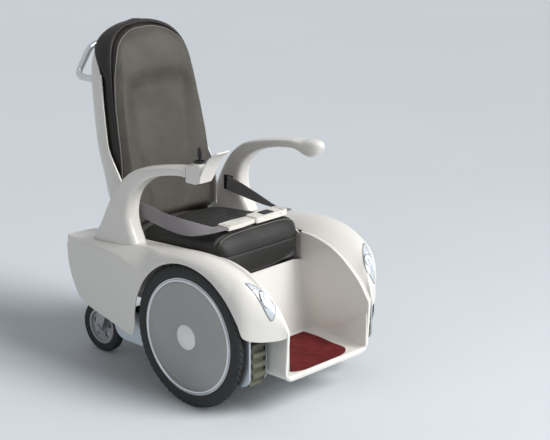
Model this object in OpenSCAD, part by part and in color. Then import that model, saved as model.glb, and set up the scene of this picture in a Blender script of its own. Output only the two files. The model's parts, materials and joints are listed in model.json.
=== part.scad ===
// Stair climbing wheelchair: road wheels and casters for the flat, swing-down crawlers for steps.
// X is to the occupant's left, -Y to the front, Z up, and the floor is Z = 0.
// The modules are drawn with Y = 0 at the main axle; placed() moves them to the middle of the length.

/* [Main wheels] */
// Outer radius of the tyre
wheel_r = 225; // [222:0.5:226]
// Width of the tyre
tyre_w = 27; // [23:0.5:27]
// Margin from the rim's edge in to the wheel cover
cover_in = 13; // [12:1:20]
// Radius of the domed hub cap
hub_cap_r = 40; // [32:1:44]

/* [Casters] */
// Radius of the caster tyre
caster_r = 88; // [84:0.5:88]
// Width of the caster tyre
caster_w = 34; // [28:0.5:36]
// Distance from the swivel axis back to the caster axle
caster_trail = 40; // [36:0.5:40]

/* [Crawlers] */
// Width of the track belt
track_w = 56; // [50:0.5:57]
// Thickness of the belt under its lugs
belt_t = 6; // [5:0.5:6.5]
// Height of the lugs
lug_h = 12; // [9:0.5:12]
// Length of a lug along the belt
lug_l = 18; // [14:0.5:20]

/* [Body] */
// Wall thickness of the fender shells
fender_t = 4; // [3:0.25:4.5]
// Wall thickness of the footwell sides
tub_t = 12; // [9:0.5:13]
// Thickness of the footwell mat
mat_t = 4; // [3:0.5:6]

/* [Seat] */
// Crown of the seat cushion above its edges
seat_crown = 12; // [8:1:14]
// Depth of the sewn lines in the cushions
seam_d = 5; // [3:0.5:6]
// Width of the belt strap
strap_w = 48; // [42:1:50]
// Thickness of the belt strap
strap_t = 2; // [1.6:0.1:2.2]

/* [Arms and handle] */
// Width of an armrest at its top
arm_w = 58; // [52:1:58]
// Radius of the push handle tube
handle_r = 11; // [10:0.5:12]
// Length of the joystick above its pivot
stick_l = 62; // [56:1:64]

/* [Fits] */
// Radial clearance of turning fits
run_gap = 0.05; // [0.03:0.01:0.08]
// Gap between neighbouring moving bodies
side_gap = 0.5; // [0.4:0.05:0.6]

/* [Hidden] */
$fn = 72;

// Main stations, measured from the axle line and the floor.
axle_z = wheel_r;
arch_r = wheel_r + 6;
hinge_y = 430;
hinge_z = 425;
back_slope = 0.204;
leg_z = 915;
// The handle stands this far behind the backrest's plane.
handle_reach = 121.04;
handle_y = hinge_y + back_slope * (leg_z - hinge_z) + handle_reach;
front_y = -307;
rear_y = handle_y + handle_r;
frame_y = -(front_y + rear_y) / 2;
body_x = 190;
tub_in = body_x - tub_t;
floor_z = 130;
wheel_out = 310.5;
wheel_mid = wheel_out - 13.5;
track_mid = wheel_out - 70.5;
rim_r = wheel_r - 41;
cover_r = rim_r - cover_in;
caster_x = 172;
caster_y = 505;
caster_axle_y = caster_y + caster_trail;
caster_hub_r = caster_r - 28;
// Lower end of the caster housings, over the fork's crown.
fork_top = 2 * caster_r + 28;
pod_x = -238;
pod_hinge_x = -262;
pod_hinge_y = 51;
stick_y = 8;
stick_z = 742;

// Smooth curve through the points of a table sorted by its first column.
function seg_of(t, x, i = 0) = (i >= len(t) - 2 || x <= t[i + 1][0]) ? i : seg_of(t, x, i + 1);
function slope(t, i) = let(a = max(0, i - 1), b = min(len(t) - 1, i + 1))
  (t[b][1] - t[a][1]) / (t[b][0] - t[a][0]);
function curve(t, x) = let(i = seg_of(t, x), h = t[i + 1][0] - t[i][0],
    u = min(1, max(0, (x - t[i][0]) / h)))
  (2 * u ^ 3 - 3 * u ^ 2 + 1) * t[i][1] + (u ^ 3 - 2 * u ^ 2 + u) * h * slope(t, i)
  + (3 * u ^ 2 - 2 * u ^ 3) * t[i + 1][1] + (u ^ 3 - u ^ 2) * h * slope(t, i + 1);
function spow(v, p) = sign(v) * abs(v) ^ p;
function unit(v) = v / norm(v);
function bump(x, w) = abs(x) >= w ? 0 : (1 + cos(180 * x / w)) / 2;

// Closed solid between an outer and an inner grid of points.
module shell(o, q, flip = false) {
  n = len(o);
  m = len(o[0]);
  s = n * m;
  f = concat(
    [for (i = [0:n - 2], j = [0:m - 2]) let(a = i * m + j) each [[a, a + 1, a + m + 1], [a, a + m + 1,
    a + m]]],
    [for (i = [0:n - 2], j = [0:m - 2]) let(a = s + i * m + j) each [[a, a + m + 1, a + 1], [a, a + m,
    a + m + 1]]],
    [for (i = [0:n - 2]) let(a = i * m, d = a + m) each [[a, d, d + s], [a, d + s, a + s]]],
    [for (i = [0:n - 2]) let(b = i * m + m - 1, c = b + m) each [[c, b, b + s], [c, b + s, c + s]]],
    [for (j = [0:m - 2]) let(a = j, b = j + 1) each [[b, a, a + s], [b, a + s, b + s]]],
    [for (j = [0:m - 2]) let(d = (n - 1) * m + j, c = d + 1) each [[d, c, c + s], [d, c + s, d + s]]]);
  polyhedron(concat([for (r = o) each r], [for (r = q) each r]),
    flip ? [for (t = f) [t[0], t[2], t[1]]] : f);
}

// Solid through a row of closed rings, with a fan at each end.
module skin(rings, flip = false) {
  n = len(rings);
  m = len(rings[0]);
  mid0 = [for (k = [0:2]) [for (p = rings[0]) p[k]] * [for (p = rings[0]) 1] / m];
  mid1 = [for (k = [0:2]) [for (p = rings[n - 1]) p[k]] * [for (p = rings[0]) 1] / m];
  f = concat(
    [for (i = [0:n - 2], j = [0:m - 1]) let(a = i * m + j, b = i * m + (j + 1) % m)
      each [[a, b, b + m], [a, b + m, a + m]]],
    [for (j = [0:m - 1]) [n * m, (j + 1) % m, j]],
    [for (j = [0:m - 1]) [n * m + 1, (n - 1) * m + j, (n - 1) * m + (j + 1) % m]]);
  polyhedron(concat([for (r = rings) each r], [mid0, mid1]),
    flip ? [for (t = f) [t[0], t[2], t[1]]] : f);
}

module placed() translate([0, frame_y, 0]) children();
module side(s) mirror([s < 0 ? 1 : 0, 0, 0]) children();
// Extrudes a drawing of the YZ plane from x0 to x1.
module yz(x0, x1) translate([x0, 0, 0]) rotate([90, 0, 90]) linear_extrude(x1 - x0) children();
module rod_x(x0, x1, r, y, z) translate([x0, y, z]) rotate([0, 90, 0]) cylinder(r = r, h = x1 - x0);
module turn_x(y, z) translate([0, y, z]) rotate([0, 90, 0]) rotate_extrude() children();
module box(x0, x1, y0, y1, z0, z1) translate([x0, y0, z0]) cube([x1 - x0, y1 - y0, z1 - z0]);

// Fender shape: crown, inner edge, outer half width and the two radii of the shoulder along Y.
t_crown = [[-308, 289], [-298, 320], [-288, 340], [-272, 368], [-250, 400], [-208, 436], [-160, 461],
  [-110, 477], [-60, 485], [0, 486], [60, 481], [131, 471], [200, 461], [300, 448], [415, 437], [572, 428]];
t_inner = [[-308, 283], [-285, 318], [-263, 347], [-225, 381], [-190, 408], [-147, 431], [-100, 446],
  [-63, 453], [-30, 455], [50, 454], [150, 449], [300, 440], [450, 431], [572, 424]];
t_out = [[-308, 192], [-298, 205], [-285, 226], [-270, 250], [-254, 272], [-240, 289], [-220, 304],
  [-190, 312.5], [-120, 316], [250, 316], [380, 314], [480, 311], [540, 306], [572, 296]];
t_sh_x = [[-308, 1], [-285, 22], [-250, 42], [-200, 48], [-100, 46], [100, 44], [220, 44], [300, 32],
  [415, 15], [480, 11], [572, 7]];
t_sh_z = [[-308, 5], [-285, 38], [-250, 66], [-200, 76], [-120, 80], [171, 88], [220, 66], [300, 32],
  [415, 9], [480, 7], [572, 5]];
// Stations of the fender: Y of the top, then Y and Z of the lower edge under it.
st_rear = [[570, 570, 394], [562, 566, 352], [542, 549, 310], [510, 518, 258], [478, 489, 227],
  [442, 450, 214], [396, 400, 202], [350, 350, 191], [310, 303, 179], [284, 271, 171.5],
  [266, 251, 170], [253, 237, 179]];
st_arch = [for (a = [-4:8.5:166]) [arch_r * cos(a) + max(0, 15 * (1 - (a + 4) / 60)), arch_r * cos(a),
  axle_z + arch_r * sin(a)]];
st_front = [[-238, -236, 270], [-256, -254, 264], [-272, -270, 262], [-287, -285, 262], [-299, -298, 264],
  [-307, -306.5, 270]];
stations = concat(st_rear, st_arch, st_front);

// Height of the fender's outer surface over a point of its top or shoulder.
function fender_top(x, y) = let(c = curve(t_crown, y), i = curve(t_inner, y), xo = curve(t_out, y),
    a = min(curve(t_sh_x, y), xo - body_x - 1), b = curve(t_sh_z, y), xs = xo - a)
  x <= xs ? i + (c - i) * sin(90 * (x - body_x) / (xs - body_x))
  : c - b + b * sqrt(max(0, 1 - ((x - xs) / a) ^ 2));

function fender_row(s, k) = let(y = s[0], xo = max(curve(t_out, y) - k, body_x + 0.6),
    c = curve(t_crown, y) - k, i = curve(t_inner, y) - k,
    a = min(curve(t_sh_x, y), xo - body_x - 0.4), b = min(curve(t_sh_z, y), 0.9 * (c - s[2])),
    xs = xo - a, xb = max(curve(t_out, s[1]) - k, body_x + 0.6), dy = k * max(0, min(1, (-y - 200) / 80)))
  concat([for (u = [0:0.25:0.75]) [body_x + (xs - body_x) * u, y + dy, i + (c - i) * sin(90 * u)]],
    [for (p = [0:15:90]) [xs + a * sin(p), y + dy, c - b + b * cos(p)]],
    [for (v = [1 / 3, 2 / 3, 1]) [xo + (xb - xo) * v, y + dy + (s[1] - y) * v, (c - b) * (1 - v)
    + s[2] * v]]);

module fender(s) side(s) color("gainsboro")
  shell([for (st = stations) fender_row(st, 0)], [for (st = stations) fender_row(st, fender_t)], true);
module fender_right() fender(-1);
module fender_left() fender(1);

// Headlamp: a teardrop patch on the hood, as a plate and a bulging lens over it.
lamp_a = [266, -208];
lamp_b = [217, -281];
function lamp_xy(r, p) = let(d = lamp_b - lamp_a, n = [d[1], -d[0]] / norm(d), u = (1 - cos(p)) / 2,
    w = 21 * sin(p) * (0.35 + 0.65 * u))
  (lamp_a + lamp_b) / 2 * (1 - r) + (lamp_a + d * u + n * w) * r;
function lamp_pt(r, p, h) = let(q = lamp_xy(r, p), e = 1, z = fender_top(q[0], q[1]),
    gx = (fender_top(q[0] + e, q[1]) - fender_top(q[0] - e, q[1])) / (2 * e),
    gy = (fender_top(q[0], q[1] + e) - fender_top(q[0], q[1] - e)) / (2 * e))
  [q[0], q[1], z] + unit([-gx, -gy, 1]) * h;
module lamp_plate(h0, h1, bulge) skin(concat(
  [for (r = [0.02, 0.25, 0.5, 0.75, 1]) [for (p = [0:12:348]) lamp_pt(r, p, h0)]],
  [for (r = [1, 0.75, 0.5, 0.25, 0.02]) [for (p = [0:12:348]) lamp_pt(r, p, h1
    + bulge * (1 - r ^ 2))]]), true);
module headlamp_reflectors() color("silver") for (s = [-1, 1]) side(s) lamp_plate(0.8, 1.6, 0);
module headlamp_lenses() color("aliceblue") for (s = [-1, 1]) side(s) lamp_plate(2.2, 3.6, 5);

// Footwell: floor, rear wall, two sides and the rounded lip in front.
tub_top = [for (y = [-306:20:-26]) [y, curve(t_inner, y) - 1]];
module footwell_tub() color("whitesmoke") {
  for (s = [-1, 1]) side(s) {
    yz(tub_in, body_x) polygon(concat([[-14, curve(t_inner, -14) - 1], [-14, 270], [-40, 270],
      [-40, floor_z - 10], [-290, floor_z - 10], [-298, floor_z - 2]], tub_top));
    yz(tub_in - 3, tub_in) polygon(concat([[-48, floor_z], [-296, floor_z]],
      [for (u = [0:0.1:1]) [-301 + 241 * u, floor_z + 118 * (1 - u) ^ 1.7 + 1]]));
  }
  box(-tub_in, tub_in, -292, -40, floor_z - 10, floor_z);
  rod_x(-tub_in, tub_in, 8, -292, floor_z - 1);
  yz(-tub_in, tub_in) polygon([[-48, floor_z], [-42, floor_z], [-3, 364], [-9, 364]]);
}

module foot_mat() color("maroon") translate([0, 0, floor_z]) linear_extrude(mat_t)
  polygon(concat([[-150, -58], [-150, -120]], [for (a = [180:10:360]) [138 * spow(cos(a), 0.5),
    -196 + 84 * spow(sin(a), 0.5)]], [[150, -120], [150, -58]]));

// Rear body: two sides under the fenders' inner edges, the rear wall and a short deck.
rear_top = [for (y = [560:-25:-10]) [y, curve(t_inner, y) - 0.5]];
module rear_body() color("whitesmoke") {
  for (s = [-1, 1]) side(s) yz(184, body_x) polygon(concat([[-13, 440], [-13, 280], [120, 268],
    [420, fork_top + 46], [502, fork_top + 42], [518, fork_top + 58], [549, 314], [564, 354],
    [568, 392], [568, 418]], rear_top));
  yz(-184, 184) polygon([[499, 242], [512, 262], [543, 316], [558, 356], [562, 392], [562, 413], [484, 416],
    [484, 421], [568, 418], [568, 392], [564, 354], [549, 314], [518, fork_top + 58],
    [505, fork_top + 38]]);
}

// Chassis: axle beam, rails, rear beam with caster housings, posts, brackets and floor bars.
module chassis_frame() color("dimgray") difference() {
  union() {
    box(45 - track_mid, track_mid - 45, -20, 20, min(axle_z - 20, 212), max(axle_z + 20, 242));
    box(-caster_x, caster_x, 487, 523, fork_top + 8, fork_top + 38);
    box(-110, 110, 150, 420, 212, 218);
    for (s = [-1, 1]) side(s) {
      box(110, 140, 20, 500, 212, 242);
      box(110, 140, 487, 500, min(212, fork_top + 8), max(242, fork_top + 38));
      translate([caster_x, caster_y, fork_top]) cylinder(r = 22, h = 38);
      for (y = [58, 318]) box(113, 137, y, y + 24, 240, 392);
      box(118, 128, 408, 452, 240, hinge_z);
      rod_x(118, 128, 22, hinge_y, hinge_z);
      box(90, 120, -270, 0, 110, floor_z - 10);
      box(90, 120, -20, 0, 110, axle_z - 10);
    }
  }
  for (s = [-1, 1]) side(s) {
    translate([caster_x, caster_y, fork_top - 4]) cylinder(r = 12 + run_gap, h = 50);
    rod_x(110, 136, 8, hinge_y, hinge_z);
  }
}

module stub_axles() color("silver") for (s = [-1, 1]) side(s) {
  rod_x(track_mid - 45, track_mid - 40.5, 26, 0, axle_z);
  rod_x(track_mid - 41, wheel_out - 27.8, 16, 0, axle_z);
  rod_x(wheel_out - 28.5, wheel_out - 1.5, 10, 0, axle_z);
  rod_x(wheel_out - 4.1, wheel_out + 0.5, 14, 0, axle_z);
}

// Seat: pan on its posts and the cushion with a crown, a rolled front and a sewn line.
module seat_pan() color("dimgray") difference() {
  union() {
    box(-178, 178, 2, 386, 392, 398);
    box(-178, 178, 2, 8, 372, 394);
  }
  for (s = [-1, 1], y = [120, 240]) translate([s * 90, y, 380]) cylinder(r = 14, h = 30);
}

t_seat = [[-27, 426], [-23, 462], [-14, 485], [-2, 497], [12, 503], [30, 504], [60, 501], [150, 490],
  [250, 479],
  [330, 470], [346, 463], [355, 451], [360, 435]];
t_seat_w = [[-27, 118], [-23, 144], [-14, 160], [-2, 170], [20, 176], [330, 176], [360, 168]];
t_seat_b = [[-27, 404], [-23, 382], [-14, 371], [-2, 369], [1, 369], [1.6, 398], [374, 398]];
function seat_low(y) = lookup(y, t_seat_b);
function seat_row(y) = let(w = curve(t_seat_w, y), b = seat_low(y), t = curve(t_seat,
  y) - seam_d * bump(y - 12, 9),
    e = min(1, max(0, (y + 27) / 40), max(0, (364 - y) / 40)))
  concat([for (u = [-1:0.4:1]) [u * (w - 6), y, b]],
    [[w, y, b + 0.35 * (t - b)], [w + 8 * e, y, b + 0.72 * (t - b)], [w + 6 * e, y, t - 5]],
    [for (u = [0.95, 0.8, 0.6, 0.4, 0.2, 0, -0.2, -0.4, -0.6, -0.8, -0.95])
      [u * (w + 2 * e), y, t + seat_crown * e * (1 - u ^ 2)]],
    [[-w - 6 * e, y, t - 5], [-w - 8 * e, y, b + 0.72 * (t - b)], [-w, y, b + 0.35 * (t - b)]]);
seat_ys = [-27, -25, -22, -17, -10, -2, 1, 1.6, 4, 7, 10, 12, 14, 17, 20, 26, 40, 70, 110, 150, 190,
  230, 270, 305,
  326, 338, 347, 354, 358, 360];
module seat_cushion() color("darkslategray") skin([for (y = seat_ys) seat_row(y)]);

// Armrests: an arch swept from a broad foot on the fender to a flat arm.
t_arm_ay = [[0, 468], [1, 448], [2, 425], [3, 402], [4, 379], [5, 354], [6, 325], [7, 288], [8, 248],
  [9, 204],
  [10, 158], [11, 108], [12, 57.5]];
t_arm_az = [[0, 438], [1, 464], [2, 502], [3, 548], [4, 588], [5, 624], [6, 655], [7, 682], [8, 699],
  [9, 711],
  [10, 721], [11, 730], [12, 737]];
t_arm_by = [[0, 259], [1, 268], [2, 286], [3, 297], [4, 299], [5, 294], [6, 281], [7, 259], [8, 231],
  [9, 196],
  [10, 154], [11, 108], [12, 57.5]];
t_arm_bz = [[0, 448], [1, 466], [2, 496], [3, 527], [4, 556], [5, 586], [6, 614], [7, 638], [8, 659],
  [9, 677],
  [10, 691], [11, 701], [12, 707]];
t_arm_x = [[0, 251], [3, 247], [6, 241], [12, 238]];
t_arm_w = [[0, 36], [3, 33], [6, 30], [12, arm_w / 2]];
function arm_ring(s) = let(ay = curve(t_arm_ay, s), az = curve(t_arm_az, s), by = curve(t_arm_by, s),
    bz = curve(t_arm_bz, s), x = curve(t_arm_x, s), w = curve(t_arm_w, s))
  [for (p = [0:18:342]) [x + w * spow(cos(p), 0.55), (ay + by) / 2 + (ay - by) / 2 * spow(sin(p), 0.55),
    (az + bz) / 2 + (az - bz) / 2 * spow(sin(p), 0.55)]];
// Rings under the foot lie just over the fender, from the middle out.
function foot_ring(r) = [for (q = arm_ring(0)) let(x = 251 + (q[0] - 251) * r, y = 363.5
  + (q[1] - 363.5) * r)
  [x, y, fender_top(x, y) + 0.4]];
arm_rings = concat([for (r = [0.04, 0.3, 0.55, 0.8, 1]) foot_ring(r)],
  [for (s = [0.5:0.5:12]) arm_ring(s)]);
// Drooping knob that ends the left arm: Y, middle Z, half height, half width.
knob = [[40, 721, 16, 29], [22, 718, 20, 29], [6, 716, 25, 28.5], [-8, 716, 28, 28], [-24, 719, 26, 26],
  [-38, 724, 20, 22], [-48, 729, 13, 16], [-54, 732, 6, 9]];
knob_rings = [for (k = knob) [for (p = [0:18:342]) [238 + k[3] * spow(cos(p), 0.6), k[0]
  + 5 * sin(p) * (k[0] < 0 ? 1 : 0),
  k[1] + k[2] * spow(sin(p), 0.6)]]];
module armrest_right() color("gainsboro") side(-1) skin(arm_rings);
module armrest_left() color("gainsboro") skin(concat(arm_rings, knob_rings));

// Joystick: pod hinged on the outer edge of the right arm, guard, collar, gimbal and stick.
module pod_hinge_pin() color("silver") {
  translate([pod_hinge_x, pod_hinge_y, 709]) cylinder(r = 3, h = 26);
  for (z = [710, 728]) translate([pod_hinge_x, pod_hinge_y, z]) {
    cylinder(r = 5.5, h = 6);
    translate([-3, 0, 0]) cube([6, 57.4 - pod_hinge_y, 6]);
  }
}
function guard_c(u) = [-8 - 50 * u - 29 * u ^ 4.6, 698 + 108 * u];
function guard_n(u) = let(d = unit(guard_c(u + 0.01) - guard_c(u - 0.01))) [-d[1], d[0]];
module joystick_pod() color("gainsboro") difference() {
  union() {
    difference() {
      yz(pod_x - 26, pod_x + 26) polygon([[49.5, 700], [49.5, 738], [46, 746], [-12, 756], [-17, 752],
        guard_c(0.2) + [0.05, 0], guard_c(0.04) + [0.05, 0], [2, 694], [40, 694]]);
      translate([pod_hinge_x, pod_hinge_y, 690]) cylinder(r = 7.6, h = 70);
    }
    translate([pod_hinge_x, pod_hinge_y, 716 + side_gap]) cylinder(r = 5.8, h = 12 - 2 * side_gap);
    box(pod_hinge_x, pod_hinge_x + 12, 44, 49, 716 + side_gap, 728 - side_gap);
    translate([pod_x, stick_y, 746]) cylinder(r = 21, h = 11);
  }
  translate([pod_hinge_x, pod_hinge_y, 690]) cylinder(r = 3 + run_gap, h = 70);
  translate([pod_x, stick_y, stick_z - 17]) cylinder(r = 17, h = 60);
  rod_x(pod_x - 22.5, pod_x + 22.5, 3 + run_gap, stick_y, stick_z);
}
module hand_guard() color("whitesmoke") yz(pod_x - 31, pod_x + 31)
  polygon(concat([for (u = [0.02:0.07:1]) guard_c(u)], [for (u = [1:-0.07:0.02]) guard_c(u)
    + guard_n(u) * (5 + 3 * u ^ 6)]));
module joystick_collar() color("black") translate([pod_x, stick_y, 0]) rotate_extrude()
  polygon([[13, 750], [16.9, 750], [16.9, 757], [21, 757], [21, 759], [17, 762], [13, 763]]);
module joystick_gimbal() color("dimgray") difference() {
  union() {
    translate([pod_x, stick_y, stick_z - 6]) cylinder(r = 11, h = 12);
    rod_x(pod_x - 22, pod_x + 22, 3, stick_y, stick_z);
  }
  translate([pod_x, stick_y, stick_z - 10]) cylinder(r = 7, h = 20);
  translate([pod_x, stick_y - 12, stick_z]) rotate([-90, 0, 0]) cylinder(r = 2 + run_gap, h = 24);
}
module joystick_stick() color("black") translate([pod_x, stick_y, stick_z]) {
  translate([0, 0, -4]) cylinder(r = 4, h = stick_l - 20);
  translate([0, 0, stick_l - 30]) cylinder(r = 7, h = 24);
  translate([0, 0, stick_l - 6]) sphere(r = 7);
  translate([0, -10.5, 0]) rotate([-90, 0, 0]) cylinder(r = 2, h = 21);
}

// Lap belt: straps as ribbons from the armrests to the tongue and the buckle.
module ribbon(path, n = 36) {
  row = [for (k = [0:n]) let(t = k / n * (len(path) - 1)) [for (c = [0:3])
    curve([for (i = [0:len(path) - 1]) [i, path[i][c]]], t)]];
  grid = [for (k = [0:n]) let(q = row[k], a = row[max(0, k - 1)], b = row[min(n, k + 1)],
      d = unit([b[0] - a[0], b[1] - a[1], b[2] - a[2]]), f = unit(cross(d, [0, 0, 1])),
      w = unit(f * cos(q[3]) + cross(f, d) * sin(q[3]))) [[q[0], q[1], q[2]], w, cross(d, w)]];
  shell([for (g = grid) [for (u = [-1:0.5:1]) g[0] + g[1] * u * strap_w / 2 + g[2] * strap_t / 2]],
    [for (g = grid) [for (u = [-1:0.5:1]) g[0] + g[1] * u * strap_w / 2 - g[2] * strap_t / 2]]);
}
// Paths as X, Y, Z and the tilt of the strap; 90 stands it on edge.
belt_z = 517;
belt_y = 26;
path_right = [[-203.95, 339, 542, 90], [-200, 290, 537, 91], [-196, 220, 525, 95], [-190, 150, 518, 110],
  [-182, 95, 517, 138], [-170, 48, 521, 165], [-150, belt_y, belt_z + 9, 180], [-127.6, belt_y,
    belt_z + 9, 180]];
path_left = [[203.95, 339, 542, 90], [200, 290, 537, 89], [196, 220, 525, 85], [190, 150, 518, 70],
  [184, 95, 517, 42], [176, 48, 521, 15], [160, belt_y, belt_z + 9, 0], [137.6, belt_y, belt_z + 9, 0]];
module belt_strap_right() color("gray") ribbon(path_right);
module belt_strap_left() color("gray") ribbon(path_left);
module belt_anchors() color("silver") for (s = [-1, 1]) side(s) difference() {
  box(205, 213.2, 322, 356, 518, 566);
  rod_x(200, 215, 5, 339, 560);
}
module belt_tongue() color("beige") difference() {
  union() {
    translate([0, belt_y, belt_z + 2]) linear_extrude(13)
      polygon([[-126, -25], [-126, 25], [-70, 27], [-10, 21], [-4.5, 17], [-4.5, -17], [-10, -21],
      [-70, -27]]);
    box(-6, 34, belt_y - 14, belt_y + 14, belt_z + 7, belt_z + 10);
  }
  box(-118, -108, belt_y - 21, belt_y + 21, belt_z - 5, belt_z + 20);
  box(-60, -22, belt_y - 9, belt_y + 9, belt_z + 12, belt_z + 20);
}
module belt_buckle() color("beige") difference() {
  translate([0, belt_y, belt_z]) linear_extrude(18) polygon([[-4, -22], [-4, 22], [4, 26], [112, 27],
    [136, 25], [136, -25],
    [112, -27], [4, -26]]);
  box(-10, 36, belt_y - 14.4, belt_y + 14.4, belt_z + 6.6, belt_z + 10.4);
  box(40, 84, belt_y - 16, belt_y + 16, belt_z + 10, belt_z + 30);
  box(118, 128, belt_y - 21, belt_y + 21, belt_z - 5, belt_z + 30);
}
module buckle_button() color("dimgray")
  box(40 + side_gap, 84 - side_gap, belt_y - 16 + side_gap, belt_y + 16 - side_gap, belt_z + 14.5,
    belt_z + 20.5);

// Inside: battery on its tray and the control box on the rails behind the axle.
module battery_pack() color("black") {
  box(-108, 108, 156, 414, 218, 330);
  box(-40, 40, 270, 300, 330, 344);
}
module control_box() color("darkslategray") difference() {
  box(-125, 125, 86, 146, 242, 330);
  for (x = [-70, 0, 70]) translate([x, 86, 290]) rotate([90, 0, 0]) cylinder(r = 9, h = 20, center = true);
}

// Backrest: frame on the recline pins, shell behind, cushion in front, handle at the rear.
function back_y(z) = hinge_y + back_slope * (z - hinge_z);
t_back_w = [[452, 182], [500, 194], [560, 202], [650, 204], [800, 197], [930, 184], [1000, 168], [1040,
  146], [1066, 114],
  [1082, 70], [1089, 24]];
module backrest_frame() color("dimgray") difference() {
  union() {
    for (s = [-1, 1]) side(s) {
      yz(128 + side_gap, 138) polygon([[420, 425], [back_y(470) - 8, 470], [back_y(960) - 8, 960],
        [back_y(960) + 8, 960], [back_y(470) + 8, 470], [440, 425]]);
      rod_x(128 + side_gap, 138, 16, hinge_y, hinge_z);
    }
    for (z = [560, 902]) yz(z > 800 ? -leg_x - 10 : -130, z > 800 ? leg_x
    + 10 : 130) polygon([[back_y(z) - 7, z], [back_y(z) + 8, z], [back_y(z + 26) + 8, z + 26],
      [back_y(z + 26) - 7, z + 26]]);
  }
  for (s = [-1, 1]) side(s) rod_x(120, 145, 8 + run_gap, hinge_y, hinge_z);
}
module recline_pins() color("silver") for (s = [-1, 1]) side(s) {
  rod_x(116, 141, 8, hinge_y, hinge_z);
  rod_x(138 + side_gap, 143, 12, hinge_y, hinge_z);
}
rim_sweep = 46;
shell_zs = [470, 478, 500, 540, 590, 615, 635, 655, 675, 695, 715, 770, 830, 890, 930, 965, 1000, 1025,
  1045, 1060, 1072, 1081, 1087, 1090];
t_shell_d = [[470, 88], [500, 100], [556, 106], [700, 103], [915, 97], [970, 88], [1020, 70], [1055,
  50], [1080, 28],
  [1090, 14]];
function sstep(a, b, x) = let(u = min(1, max(0, (x - a) / (b - a)))) u * u * (3 - 2 * u);
// The shell's rim sweeps forward along the cushion's lower sides.
function sweep(z) = sstep(725, 590, z);
function shell_row(z, k) = let(w = curve(t_back_w, z) - k, y = back_y(z) - 22 - rim_sweep * sweep(z),
  d = curve(t_shell_d, z) + rim_sweep * sweep(z) - k)
  [for (p = [180:-12:0]) [w * spow(cos(p), 0.6), y + d * spow(sin(p), 0.6),
    z - (k > 0 && z > 1080 ? 4 : 0)]];
module backrest_shell() color("gainsboro") difference() {
  shell([for (z = shell_zs) shell_row(z, 0)], [for (z = shell_zs) shell_row(z, 5)]);
  for (s = [-1, 1]) translate([s * leg_x, 580, leg_z]) rotate([90, 0, 0]) cylinder(r = handle_r + 0.3,
    h = 70, center = true);
}
cush_zs = [474, 478, 486, 498, 520, 560, 610, 660, 710, 760, 810, 860, 900, 930, 945, 955, 965, 980,
  1000, 1022, 1042,
  1058, 1069, 1076];
// Share of the cushion's depth at a share u across: a tapered middle panel between bolsters, and a head roll.
function panel(z) = 0.34 + 0.3 * min(1, (z - 474) / 450);
function relief(u, z) = let(a = abs(u), c = panel(z), head = sstep(885, 960, z + 30 * a * a),
    rise = min(1, max(0, (a - c) / (0.8 - c))),
    low = 1.02 - (0.42 - 0.12 * sstep(480, 880, z)) * (1 - rise ^ 0.9))
  low * (1 - head) + (1.02 + 0.05 * (1 - a * a) - 0.06 * sstep(990, 1070, z)) * head;
function cush_row(z) = let(w = curve(t_back_w, z + 9 * max(0, (z - 900) / 180)) - 7, e = min(1, 0.22
  + (z - 474) / 34), g = min(1, (1084 - z) / 90),
    t = 76 * sqrt(e) * sqrt(g), y = back_y(z) - 8.05, q = 1 - 0.04 * sweep(z))
  concat([for (u = [-0.9:0.3:0.9]) [u * w * 0.9, y, z]],
    [[w * 0.96, y - 6, z], [w * q, y - 0.35 * t, z], [w * 1.02 * q, y - 0.58 * t, z], [w * 0.98 * q,
    y - 0.78 * t, z]],
    [for (u = [0.88, 0.8, 0.72, 0.64, 0.56, 0.48, 0.4, 0.34, 0.17, -0.17, -0.34, -0.4, -0.48, -0.56,
    -0.64, -0.72, -0.8, -0.88]) [u * w, y - t * relief(u, z), z]],
    [[-w * 0.98 * q, y - 0.78 * t, z], [-w * 1.02 * q, y - 0.58 * t, z], [-w * q, y - 0.35 * t, z],
    [-w * 0.96, y - 6, z]]);
module backrest_cushion() color("darkslategray") skin([for (z = cush_zs) cush_row(z)], true);

// Push handle: two bent legs from the frame's upper cross bar into a round crossbar.
leg_x = 165;
handle_z = 1009;
bar_half = 84;
handle_pts = [[leg_x, back_y(leg_z + handle_r) + 8.2, leg_z], [leg_x, handle_y, leg_z], [100, handle_y,
  handle_z],
  [bar_half - 12, handle_y, handle_z]];
bend_r = 28;
function dir_of(i) = unit(handle_pts[i + 1] - handle_pts[i]);
function across(a, d) = unit(a - d * (d * a));
// Points and directions round the bend at corner i.
function bend(i) = let(d = dir_of(i - 1), e = dir_of(i), t = acos(d * e), n = across(e, d),
    c = handle_pts[i] - d * bend_r * tan(t / 2) + n * bend_r)
  [for (k = [0:5]) let(a = t * k / 5) [c - n * bend_r * cos(a) + d * bend_r * sin(a), d * cos(a)
    + n * sin(a)]];
handle_path = concat([[handle_pts[0], dir_of(0)]], bend(1), bend(2), [[handle_pts[3], dir_of(2)]]);
handle_ref = cross(dir_of(0), dir_of(1));
module push_handle() color("silver") {
  for (s = [-1, 1]) side(s) skin([for (q = handle_path) let(x = across(handle_ref, q[1]),
    y = cross(q[1], x))
    [for (p = [0:15:345]) q[0] + (handle_r - 0.3) * (x * cos(p) + y * sin(p))]], true);
  rod_x(-bar_half, bar_half, handle_r, handle_y, handle_z);
}

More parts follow.
